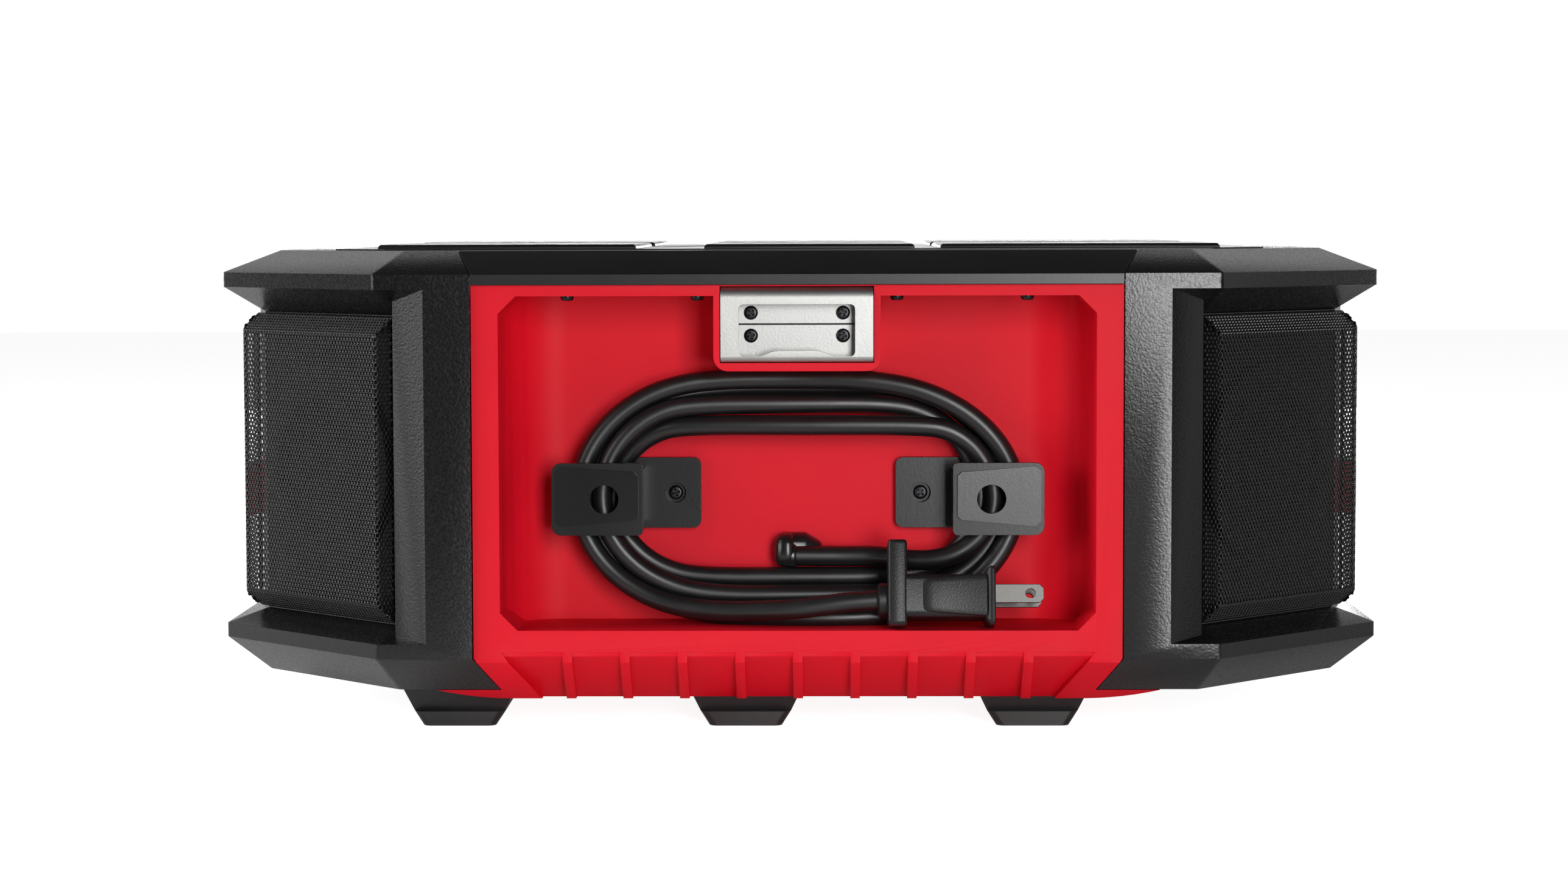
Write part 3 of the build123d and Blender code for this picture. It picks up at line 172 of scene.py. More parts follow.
to_plug = (
    (-2.0, -145.4, 42.2),
    (9.0, -146.2, 43.8),
    (18.0, -146.7, 45.1),
    (28.3, -146.8, 45.7),
)
across_signs = (1, -1, -1, 1)
up_signs = (1, 1, -1, -1)

route = list(from_gland)
for i, (row, after) in enumerate(zip(quarter_turns, quarter_turns[1:])):
    from_side = i % 2 == 0
    out_x = row[0] if from_side else after[0]
    out_z = after[0] if from_side else row[0]
    rounded = row[3]
    angles = end_angles if from_side else (None,) + end_angles[:0:-1]
    for k, angle in enumerate(angles):
        t = k / len(angles)
        depth = row[1] * (1 - t) * (1 - 2 * t) + row[2] * 4 * t * (1 - t) + after[1] * t * (2 * t - 1)
        if angle is None:
            x, z = 0.0, out_z
        else:
            x = out_x - rounded + rounded * cos(radians(angle))
            z = out_z * sin(radians(angle))
        route.append((across_signs[i % 4] * x, depth, winding_z + up_signs[i % 4] * z))
route += to_plug

cord_data = bpy.data.curves.new("mains_cord", "CURVE")
cord_data.dimensions = "3D"
spline = cord_data.splines.new("NURBS")
spline.points.add(len(route) - 1)
for point, (x, y, z) in zip(spline.points, route):
    point.co = (x * mm, y * mm, z * mm, 1.0)
spline.order_u = 3
spline.use_endpoint_u = True
cord_data.resolution_u = 10
cord_data.bevel_depth = cord_r
cord_data.bevel_resolution = 6
cord_data.use_fill_caps = True
cord_data.materials.append(pvc_sheath)
cord = place_piece(bpy.data.objects.new("mains_cord", cord_data), "base")
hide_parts("cord_lead_in", "cord_coil", "cord_lead_out")


# ---- Plug -----------------------------------------------------------------------------------
# A moulded two-blade plug, over the cord's end: a collar, a tall flange to pull by, a waisted grip
# with a thumb rest on each side, and a face flange. Soft PVC with a spark-eroded grain.
slots = {row["node"]: row["material_slot"] for row in frame["record"]["subparts"]}


def dress(node, material):
    """Give a CAD piece its material."""
    data = frame["nodes"][node].data
    data.materials.clear()
    data.materials.append(material)


def soft_edges(piece, width, segments, sharp_angle):
    """Round a piece's edges where its faces meet at more than an angle."""
    edges = piece.modifiers.new("edges", "BEVEL")
    edges.width = width
    edges.segments = segments
    edges.limit_method = "ANGLE"
    edges.angle_limit = radians(sharp_angle)
    edges.harden_normals = True


def softened(node, radius, material):
    """A copy of a piece with its sharp edges rounded, as a mould leaves them."""
    source = frame["nodes"][node]
    mesh = bmesh.new()
    mesh.from_mesh(source.data)
    bmesh.ops.remove_doubles(mesh, verts=mesh.verts, dist=0.002 * mm)
    bmesh.ops.dissolve_limit(mesh, angle_limit=radians(0.6), verts=mesh.verts, edges=mesh.edges)
    data = bpy.data.meshes.new(node + "_rounded")
    mesh.to_mesh(data)
    mesh.free()
    for face in data.polygons:
        face.use_smooth = True
    data.set_sharp_from_angle(angle=radians(35))
    data.materials.clear()
    data.materials.append(material)
    piece = bpy.data.objects.new(node + "_rounded", data)
    place_piece(piece, body_of(source)[0])
    soft_edges(piece, radius, 2, 28)
    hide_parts(node)


plug_pvc, tree, shader, place = start_material("plug_pvc_grained", "#121213", 0.4)
grain = add(tree, "TexVoronoi", {"Vector": place, "Scale": 1 / (0.42 * mm)}, feature="SMOOTH_F1")
add(tree, "Bump", {"Height": grain.outputs["Distance"], "Distance": 0.05 * mm}, to=shader.inputs["Normal"])
cloud = add(tree, "TexNoise", {"Vector": place, "Scale": 1 / (6 * mm)})
add(tree, "Mix", {0: cloud.outputs["Fac"], 6: linear("#0f0f10"), 7: linear("#18181a")},
    to=shader.inputs["Base Color"], data_type="RGBA")
shader.inputs["IOR"].default_value = 1.53
shader.inputs["Specular IOR Level"].default_value = 0.36

plug_start, plug_roll = Vector((27.8, -146.6, 46.5)), -14     # the collar's end, and its lean back
plug_turn = Matrix.Translation(plug_start * mm) @ Matrix.Rotation(radians(plug_roll), 4, "X")
collar = (3.0, 6.0, -0.9)           # length, radius, its middle from the plug's
pull = (6.6, 8.8, 10.3, 19.2)       # length, half width, below and above the axis
grip = (26.9, 8.8, 7.4)             # length, half width, half height
face = (3.2, 9.3, 10.0)             # length, half width, half height
waist = 0.86                        # the grip's middle against its ends
rest_start = 5.4                    # thumb rest, from the pull flange
rest_proud = 0.9
rest_under = 1.6                    # how deep the rest's foot sits in the grip
rest_wall = 0.55                    # the straight part of its side
rest_square = 0.45                  # lower is squarer


def rounded_ring(x, half_y, low, high, corner, count=6):
    """Points of a rounded rectangle across the plug at x."""
    points = []
    for cy, cz, first in ((half_y - corner, high - corner, 0), (-half_y + corner, high - corner, 90),
                          (-half_y + corner, low + corner, 180), (half_y - corner, low + corner, 270)):
        for i in range(count + 1):
            angle = radians(first + 90 * i / count)
            points.append((x, cy + corner * cos(angle), cz + corner * sin(angle)))
    return points


def skin_over(rings):
    """A closed mesh through rings of equally many points, in millimetres, along +X."""
    mesh = bmesh.new()
    rows = [[mesh.verts.new(Vector(p) * mm) for p in ring] for ring in rings]
    for a, b in zip(rows, rows[1:]):
        for i in range(len(a)):
            j = (i + 1) % len(a)
            mesh.faces.new((a[i], b[i], b[j], a[j]))
    mesh.faces.new(rows[0])
    mesh.faces.new(rows[-1][::-1])
    bmesh.ops.recalc_face_normals(mesh, faces=mesh.faces)
    return mesh


def finished(name, mesh, material, smooth_angle=40):
    """An object from a mesh, smooth but for its sharp edges."""
    data = bpy.data.meshes.new(name)
    mesh.to_mesh(data)
    mesh.free()
    for polygon in data.polygons:
        polygon.use_smooth = True
    data.set_sharp_from_angle(angle=radians(smooth_angle))
    data.materials.append(material)
    return bpy.data.objects.new(name, data)


x1 = collar[0] + pull[0]
x2 = x1 + grip[0]
collar_rings = [[(x, r * cos(2 * pi * i / 28), collar[2] + r * sin(2 * pi * i / 28)) for i in range(28)]
                for x, r in ((-0.4, collar[1] - 0.9), (0.3, collar[1]), (collar[0] + 0.4, collar[1]))]
pull_rings = [rounded_ring(x, pull[1] - s, -pull[2] + s, pull[3] - s, 1.6)
              for x, s in ((collar[0], 0.9), (collar[0] + 0.35, 0.25), (collar[0] + 0.9, 0.0),
                           (x1 - 0.9, 0.0), (x1 - 0.35, 0.25), (x1, 0.9))]
grip_rings = []
for i in range(13):
    t = i / 12
    draw_in = 1 - (1 - waist) * sin(pi * t) * (0.6 + 0.4 * t)
    along = x1 - 0.3 + (grip[0] + 0.6) * t
    grip_rings.append(rounded_ring(along, grip[1] * draw_in, -grip[2], grip[2], 2.4))
face_rings = [rounded_ring(x, face[1] - s, -face[2] + s, face[2] - s, 1.4)
              for x, s in ((x2 - 0.4, 1.8), (x2 + 0.3, 0.9), (x2 + 1.2, 0.2), (x2 + 1.6, 0.0),
                           (x2 + face[0] - 0.5, 0.0), (x2 + face[0], 0.5))]
for name, rings in (("plug_collar", collar_rings), ("plug_pull", pull_rings), ("plug_grip", grip_rings),
                    ("plug_face", face_rings)):
    part = finished(name, skin_over(rings), plug_pvc)
    part.matrix_world = plug_turn
    place_piece(part, "base")

# a thumb rest on the front and the back of the grip: it stands up at a rounded step, dips into a
# saddle, and runs out over the grip's edges into the face. Each row is how far along the rest it
# is, its half height as a share of the grip's, and how proud it stands
rest_steps = ((0.0, 0.62, 0.0), (0.02, 0.72, 0.75), (0.06, 0.78, 1.0), (0.16, 0.81, 1.12), (0.32, 0.84, 0.9),
              (0.5, 0.88, 0.72), (0.7, 0.92, 0.7), (0.88, 0.96, 0.85), (1.0, 0.99, 1.0))
for side, name in ((-1, "plug_thumb_rest_front"), (1, "plug_thumb_rest_back")):
    rest_rings = []
    for t, half_share, proud_share in rest_steps:
        x = x1 + rest_start + (grip[0] - rest_start + 0.2) * t
        under = grip[1] * waist - rest_under
        rise = grip[1] - 0.5 + rest_proud * proud_share - under
        half = grip[2] * half_share
        ring = [(x, side * under, -half), (x, side * (under + rise * rest_wall), -half)]
        for k in range(9):
            angle = radians(180 - 22.5 * k)
            reach = abs(cos(angle)) ** rest_square
            lift = rest_wall + (1 - rest_wall) * abs(sin(angle)) ** rest_square
            ring.append((x, side * (under + rise * lift), copysign(reach, cos(angle)) * half))
        ring += [(x, side * (under + rise * rest_wall), half), (x, side * under, half)]
        rest_rings.append(ring)
    part = finished(name, skin_over(rest_rings), plug_pvc)
    part.matrix_world = plug_turn
    place_piece(part, "base")
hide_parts("plug_body")

# nickel-plated brass blades, stamped from strip: bright, a little worn, with fine scratches
plated_brass, tree, shader, place = start_material("nickel_plated_brass", "#636260", 0.42, 1.0)
wear = add(tree, "TexNoise", {"Vector": place, "Scale": 1 / (0.9 * mm), "Detail": 4.0})
add(tree, "MapRange", {"Value": wear.outputs["Fac"], "To Min": 0.36, "To Max": 0.48},
    to=shader.inputs["Roughness"])
add(tree, "Mix", {0: wear.outputs["Fac"], 6: linear("#555452"), 7: linear("#6f6e6b")},
    to=shader.inputs["Base Color"], data_type="RGBA")
add(tree, "Bump", {"Height": wear.outputs["Fac"], "Distance": 0.015 * mm}, to=shader.inputs["Normal"])
blade_start = x2 + face[0] - 2.0
blade_end = 56.2                     # from the collar's end, as the sizes above
blade_half, blade_sheet, blade_side = 3.175, 0.75, 6.35   # half width, half sheet, off the axis
blade_up = 0.6                       # over the grip's axis
tip_cut = 1.4
hole_back, hole_round = 4.6, 1.6     # from the tip, and its radius
mesh = bmesh.new()
outline = ((blade_start, -blade_half), (blade_end - tip_cut, -blade_half),
           (blade_end, -blade_half + tip_cut), (blade_end, blade_half - tip_cut),
           (blade_end - tip_cut, blade_half), (blade_start, blade_half))
for side in (-1, 1):
    faces = []
    for y in (side * blade_side - blade_sheet, side * blade_side + blade_sheet):
        rim = [mesh.verts.new(Vector((x, y, z + blade_up)) * mm) for x, z in outline]
        hole = [mesh.verts.new(Vector((blade_end - hole_back + hole_round * cos(pi * i / 12), y,
                                       blade_up + hole_round * sin(pi * i / 12))) * mm)
                for i in range(24)]
        edges = [mesh.edges.new((ring[i - 1], ring[i])) for ring in (rim, hole) for i in range(len(ring))]
        bmesh.ops.triangle_fill(mesh, use_beauty=True, edges=edges)
        faces.append((rim, hole))
    for near, far in zip(*faces):
        for i in range(len(near)):
            mesh.faces.new((near[i - 1], near[i], far[i], far[i - 1]))
bmesh.ops.recalc_face_normals(mesh, faces=mesh.faces)
blades = finished("plug_blades_stamped", mesh, plated_brass, 30)
blades.matrix_world = plug_turn
place_piece(blades, "base")
soft_edges(blades, 0.2 * mm, 2, 35)
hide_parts("plug_blades")


# ---- Red centre shell -----------------------------------------------------------------------
# One deep injection moulding in red ABS: rim, ribbed skirt, the bay for the cord and the boss over
# it for the bottle opener. Spark-eroded mould faces leave it matt, a little shinier on its edges.
def moulded_abs(name, dark, light, roughness, grain_size, grain_depth, gloss=0.4):
    """Moulded ABS: a mould's fine spark grain, and a slow drift of colour and gloss."""
    made, tree, shader, place = start_material(name, light, roughness)
    drift = add(tree, "TexNoise", {"Vector": place, "Scale": 1 / (38 * mm), "Detail": 3.0})
    add(tree, "Mix", {0: drift.outputs["Fac"], 6: linear(dark), 7: linear(light)},
        to=shader.inputs["Base Color"], data_type="RGBA")
    add(tree, "MapRange", {"Value": drift.outputs["Fac"], "To Min": roughness - 0.05,
                           "To Max": roughness + 0.06}, to=shader.inputs["Roughness"])
    spark = add(tree, "TexNoise", {"Vector": place, "Scale": 1 / grain_size, "Detail": 3.0})
    add(tree, "Bump", {"Height": spark.outputs["Fac"], "Distance": grain_depth}, to=shader.inputs["Normal"])
    shader.inputs["IOR"].default_value = 1.54
    shader.inputs["Specular IOR Level"].default_value = gloss
    return made


# the grain is drawn at 0.8 mm, coarser than the real 0.1 mm, so that it shows
red_abs = moulded_abs("abs_red_moulded", "#d00a20", "#dc1026", 0.52, 0.8 * mm, 0.03 * mm, 0.15)
softened("center_shell", 0.55 * mm, red_abs)


# ---- End shells -----------------------------------------------------------------------------
# Black glass-filled ABS end caps with heavy lips over and under the speakers. The mould has a
# pebble grain, which breaks the light on their bevels into a fine sparkle.
def pebble_abs(name, dark, light, roughness):
    """Moulded ABS with a pebble grain: rounded cells 0.75 mm across with shallow valleys."""
    made, tree, shader, place = start_material(name, light, roughness)
    drift = add(tree, "TexNoise", {"Vector": place, "Scale": 1 / (45 * mm), "Detail": 3.0})
    add(tree, "Mix", {0: drift.outputs["Fac"], 6: linear(dark), 7: linear(light)},
        to=shader.inputs["Base Color"], data_type="RGBA")
    warp = add(tree, "TexNoise", {"Vector": place, "Scale": 1 / (1.6 * mm), "Detail": 2.0})
    bent = add(tree, "Mix", {0: 0.0006, 4: place, 5: warp.outputs["Color"]}, data_type="VECTOR")
    cells = add(tree, "TexVoronoi", {"Vector": bent.outputs[1], "Scale": 1 / (0.75 * mm)},
                feature="SMOOTH_F1")
    pebbles = add(tree, "Bump", {"Height": cells.outputs["Distance"], "Distance": 0.05 * mm})
    fine = add(tree, "TexNoise", {"Vector": place, "Scale": 1 / (0.5 * mm), "Detail": 2.0})
    add(tree, "Bump", {"Height": fine.outputs["Fac"], "Distance": 0.012 * mm,
                       "Normal": pebbles.outputs[0]}, to=shader.inputs["Normal"])
    add(tree, "MapRange", {"Value": cells.outputs["Distance"], "To Min": roughness - 0.04,
                           "To Max": roughness + 0.1}, to=shader.inputs["Roughness"])
    shader.inputs["IOR"].default_value = 1.54
    shader.inputs["Specular IOR Level"].default_value = 0.42
    return made


black_pebble = pebble_abs("abs_black_pebble_grain", "#0b0b0c", "#101011", 0.25)
for node in ("left_end_shell", "right_end_shell"):
    softened(node, 0.9 * mm, black_pebble)


# ---- Top cover and stacking pads ------------------------------------------------------------
# A black cover screwed down over the middle, with raised pads on which the next crate stands. It
# has a finer grain than the ends.
cover_abs = moulded_abs("abs_black_fine_grain", "#0d0d0e", "#131314", 0.32, 0.9 * mm, 0.015 * mm)
softened("top_cover", 0.6 * mm, cover_abs)


# ---- Feet -----------------------------------------------------------------------------------
# Six hooked feet in black nylon, which drop into the pads of the crate below. Nylon is darker and
# waxier than the shells, and the soles are scuffed grey where they stand.
foot_nylon, tree, shader, place = start_material("nylon_black_moulded", "#0e0e0f", 0.36)
wax = add(tree, "TexNoise", {"Vector": place, "Scale": 1 / (12 * mm), "Detail": 5.0})
height = add(tree, "SeparateXYZ", {"Vector": place})
sole = add(tree, "MapRange", {"Value": height.outputs[2], "From Min": 1.2 * mm, "From Max": 0.1 * mm})
worn = add(tree, "Math", {0: sole.outputs[0], 1: wax.outputs["Fac"]}, operation="MULTIPLY")
add(tree, "Mix", {0: worn.outputs[0], 6: linear("#0e0e0f"), 7: linear("#2c2c2e")},
    to=shader.inputs["Base Color"], data_type="RGBA")
add(tree, "MapRange", {"Value": wax.outputs["Fac"], "To Min": 0.32, "To Max": 0.5},
    to=shader.inputs["Roughness"])
add(tree, "Bump", {"Height": wax.outputs["Fac"], "Distance": 0.05 * mm}, to=shader.inputs["Normal"])
shader.inputs["IOR"].default_value = 1.53
foot_names = [n for n in slots if n.startswith("foot_")]
for node in foot_names:
    softened(node, 0.5 * mm, foot_nylon)


# ---- Side grips -----------------------------------------------------------------------------
# A red bar screwed to each end, to carry the radio by. The same ABS as the middle.
for node in ("side_grip_left", "side_grip_right"):
    softened(node, 0.8 * mm, red_abs)


# ---- Speaker grilles ------------------------------------------------------------------------
# Sheet steel 0.8 mm thick, punched with staggered hexagonal holes, then folded round all four
# sides into a shallow tray and powder coated black. The coat rounds the hole edges and shines.
coated_steel, tree, shader, place = start_material("steel_powder_coated_black", "#0f0f10", 0.28)
peel = add(tree, "TexNoise", {"Vector": place, "Scale": 1 / (1.2 * mm), "Detail": 2.0})
add(tree, "Bump", {"Height": peel.outputs["Fac"], "Distance": 0.04 * mm}, to=shader.inputs["Normal"])
add(tree, "Mix", {0: peel.outputs["Fac"], 6: linear("#0c0c0c"), 7: linear("#131314")},
    to=shader.inputs["Base Color"], data_type="RGBA")
shader.inputs["IOR"].default_value = 1.5

sheet = 0.8
hole_pitch = 1.69                    # centre to centre along a row
row_step = hole_pitch * sqrt(3) / 2
hole_share = 0.75                    # hole across its flats against the pitch
roll_over = 0.11                     # the punch draws the hole's edge in
inner_side = (37.9, 1.2)             # side wall from the middle, and outside radius of its fold
outer_side = (42.1, 3.2)
half_flat = 46.7                     # the main face, up to its slanted ends
half_height = 53.1                   # out to the low edges of the ends
tray_rise = 8.6                      # from the shell's corner face to the front of the sheet
seat = 0.3                           # the sheet's edge stands off the shell
tray_drop = tray_rise - seat
end_slope = (half_height - half_flat) / tray_drop
end_length = hypot(half_height - half_flat, tray_drop)
corner_planes = {"rear_left": (-1, -1), "rear_right": (1, -1), "front_left": (-1, 1), "front_right": (1, 1)}
corner_place = (165.35, 113.85, 90.0)


def side_fold(u):
    """For the side that u is on: its fold's radius, and where on the sheet the fold starts and ends."""
    wall, fold = outer_side if u > 0 else inner_side
    return fold, wall - fold, wall - fold + fold * pi / 2


def folded(u, v, sink=0.0):
    """A point of the punched sheet, u across and v up, once its sides and ends are folded back."""
    fold, fold_start, fold_end = side_fold(u)
    across, up = abs(u), abs(v)
    turned = max(0.0, min(pi / 2, (across - fold_start) / fold))
    x = min(across, fold_start) + fold * sin(turned)
    drop = fold * (1 - cos(turned)) + max(0.0, min(across - fold_end, tray_drop - fold))
    if turned == 0 and up > half_flat:
        share = min(1.0, (up - half_flat) / end_length)
        up, drop = half_flat + (half_height - half_flat) * share, tray_drop * share
    elif up > half_flat + end_slope * drop:
        drop = max(drop, min((up - half_flat) / end_length, 1.0) * tray_drop)
        up = half_flat + end_slope * drop
    x, drop = x - sink * sin(turned), drop + sink * cos(turned)
    return copysign(x, u) * mm, copysign(up, v) * mm, (tray_rise - drop) * mm


def punched_sheet(name, hand):
    """One sheet, its outer side towards +X or, with hand -1, towards -X."""
    mesh = bmesh.new()
    corners = {}
    low_u = -(side_fold(-1)[2] + tray_drop - inner_side[1])
    high_u = side_fold(1)[2] + tray_drop - outer_side[1]
    high_v = half_flat + end_length
    cell_r = hole_pitch / sqrt(3)
    for row in range(-ceil(high_v / row_step), ceil(high_v / row_step) + 1):
        for column in range(-ceil(high_u / hole_pitch) - 1, ceil(high_u / hole_pitch) + 2):
            u = (column + 0.5 * (row % 2)) * hole_pitch
            v = row * row_step
            edge = [(u + cell_r * sin(pi * k / 3), v + cell_r * cos(pi * k / 3)) for k in range(6)]
            outer = []
            for a, b in edge:
                held = (max(low_u, min(high_u, a)), max(-high_v, min(high_v, b)))
                key = (round(held[0] * 100), round(held[1] * 100))
                if key not in corners:
                    corners[key] = mesh.verts.new(folded(*held))
                outer.append(corners[key])
            if len(set(outer)) < 3:
                continue
            fold_start, fold_end = side_fold(u)[1:]
            drop = max(0.0, abs(u) - fold_start)
            on_wall = abs(u) > fold_end and abs(v) > half_flat + end_slope * drop - cell_r
            past = not (low_u + cell_r < u < high_u - cell_r) or abs(v) > high_v - cell_r
            if on_wall or past:
                ring = [p for i, p in enumerate(outer) if p != outer[i - 1]]
                if len(set(ring)) == len(ring) > 2:
                    mesh.faces.new(ring)
                continue
            inner = [mesh.verts.new(folded(u + (a - u) * hole_share, v + (b - v) * hole_share, roll_over))
                     for a, b in edge]
            for k in range(6):
                m = (k + 1) % 6
                mesh.faces.new((outer[k], outer[m], inner[m], inner[k]))
    bmesh.ops.remove_doubles(mesh, verts=mesh.verts, dist=0.004 * mm)
    bmesh.ops.dissolve_degenerate(mesh, dist=0.004 * mm, edges=mesh.edges)
    for v in mesh.verts:
        v.co.x *= hand
    bmesh.ops.recalc_face_normals(mesh, faces=mesh.faces)
    if sum(f.normal.z for f in mesh.faces) < 0:
        bmesh.ops.reverse_faces(mesh, faces=mesh.faces)
    data = bpy.data.meshes.new(name)
    mesh.to_mesh(data)
    mesh.free()
    data.materials.append(coated_steel)
    for face in data.polygons:
        face.use_smooth = True           # the coat draws round every edge
    return data


punched = {1: punched_sheet("punched_sheet_right_hand", 1), -1: punched_sheet("punched_sheet_left_hand", -1)}
for corner, (sx, sy) in corner_planes.items():
    grille = bpy.data.objects.new("grille_punched_" + corner, punched[-sx * sy])
    grille.matrix_world = Matrix((
        (-sy / sqrt(2), 0, sx / sqrt(2), sx * corner_place[0] * mm),
        (sx / sqrt(2), 0, sy / sqrt(2), sy * corner_place[1] * mm),
        (0, 1, 0, corner_place[2] * mm),
        (0, 0, 0, 1),
    ))
    place_piece(grille, "base")
    thick = grille.modifiers.new("sheet", "SOLIDIFY")
    thick.thickness = sheet * mm
    thick.offset = -1
    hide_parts("grille_" + corner)


# ---- Speakers -------------------------------------------------------------------------------
# A 60 mm driver behind each grille: a pressed steel basket in satin black, a pulp paper cone on a
# rubber surround, and a ring magnet of dull grey ferrite. Only a shimmer of them shows.
basket_steel, tree, shader, place = start_material("steel_stamped_black", "#1b1b1c", 0.4)
press = add(tree, "TexNoise", {"Vector": place, "Scale": 1 / (7 * mm)})
add(tree, "Mix", {0: press.outputs["Fac"], 6: linear("#161617"), 7: linear("#232325")},
    to=shader.inputs["Base Color"], data_type="RGBA")
add(tree, "MapRange", {"Value": press.outputs["Fac"], "To Min": 0.32, "To Max": 0.5},
    to=shader.inputs["Roughness"])
cone_paper, tree, shader, place = start_material("pulp_paper_black", "#222120", 0.8)
pulp = add(tree, "TexNoise", {"Vector": place, "Scale": 1 / (0.9 * mm), "Detail": 5.0})
add(tree, "Mix", {0: pulp.outputs["Fac"], 6: linear("#1a1918"), 7: linear("#2c2b29")},
    to=shader.inputs["Base Color"], data_type="RGBA")
add(tree, "Bump", {"Height": pulp.outputs["Fac"], "Distance": 0.12 * mm}, to=shader.inputs["Normal"])
ferrite, tree, shader, place = start_material("ferrite_sintered", "#3a393a", 0.55)
chips = add(tree, "TexVoronoi", {"Vector": place, "Scale": 1 / (1.6 * mm)})
add(tree, "Mix", {0: chips.outputs["Distance"], 6: linear("#302f30"), 7: linear("#464546")},
    to=shader.inputs["Base Color"], data_type="RGBA")
add(tree, "Bump", {"Height": chips.outputs["Distance"], "Distance": 0.06 * mm}, to=shader.inputs["Normal"])
for corner in corner_planes:
    dress("speaker_frame_" + corner, basket_steel)
    dress("speaker_cone_" + corner, cone_paper)
dress("speaker_magnets", ferrite)


# ---- Cord hooks -----------------------------------------------------------------------------
# Two black nylon hooks, each moulded in one piece: a base plate screwed to the bay's wall, a neck
# and a front plate with a lightening hole. Satin, so their rounded edges carry a thin bright line.
hook_nylon = moulded_abs("nylon_black_satin", "#0c0c0d", "#121213", 0.28, 0.8 * mm, 0.02 * mm, 0.4)

hook_z = 79.8
base_front = -123.0                  # its face, and the wall it stands on
wall_y = -119.0
plate_front = -139.5
plate_back = -136.1
hole_x, hole_r = 66.8, 5.0
sink_x, sink_z, sink_r, sink_depth = 42.8, 80.8, 3.5, 2.2
plate_span = (53.5, 85.0, 67.3, 92.3)  # in x, then in z
base_span = (34.0, 74.7, 68.5, 93.1)
neck_span = (53.5, 58.2, 71.1, 89.7)
weld = 1.0                           # the neck runs this far into both plates
pad_rise, pad_skirt = 1.0, 0.3       # proud of the plate, and down into it
pad_outline = ((55.0, 74.0), (56.4, 72.6), (82.0, 70.2), (84.0, 72.0), (84.0, 89.4), (82.0, 91.2),
               (56.4, 89.2), (55.0, 87.8))


def round_hole(mesh, corners, center, radius, near, far, count=32):
    """The face of a plate at depth near with a round hole in it, and the hole's wall back to far."""
    rim = [mesh.verts.new(Vector((center[0] + radius * cos(2 * pi * i / count), near,
                                  center[1] + radius * sin(2 * pi * i / count))) * mm) for i in range(count)]
    back = [mesh.verts.new(Vector((v.co.x / mm, far, v.co.z / mm)) * mm) for v in rim]
    edges = [mesh.edges.new((rim[i - 1], rim[i])) for i in range(count)]
    edges += [mesh.edges.get((corners[i - 1], corners[i])) or mesh.edges.new((corners[i - 1], corners[i]))
              for i in range(len(corners))]
    bmesh.ops.triangle_fill(mesh, use_beauty=True, edges=edges)
    for i in range(count):
        mesh.faces.new((rim[i - 1], rim[i], back[i], back[i - 1]))
    return back


def corner_points(low_x, high_x, low_z, high_z, cuts, count=5):
    """A plate's outline, each corner rounded by its own radius, from the low inner one around."""
    points = []
    for (x, z), first, r in zip(((low_x, low_z), (high_x, low_z), (high_x, high_z), (low_x, high_z)),
                                (180, 270, 0, 90), cuts):
        cx = x + copysign(r, high_x + low_x - 2 * x)
        cz = z + copysign(r, high_z + low_z - 2 * z)
        for k in range(count + 1):
            angle = radians(first + 90 * k / count)
            points.append((cx + r * cos(angle), cz + r * sin(angle)))
    return points


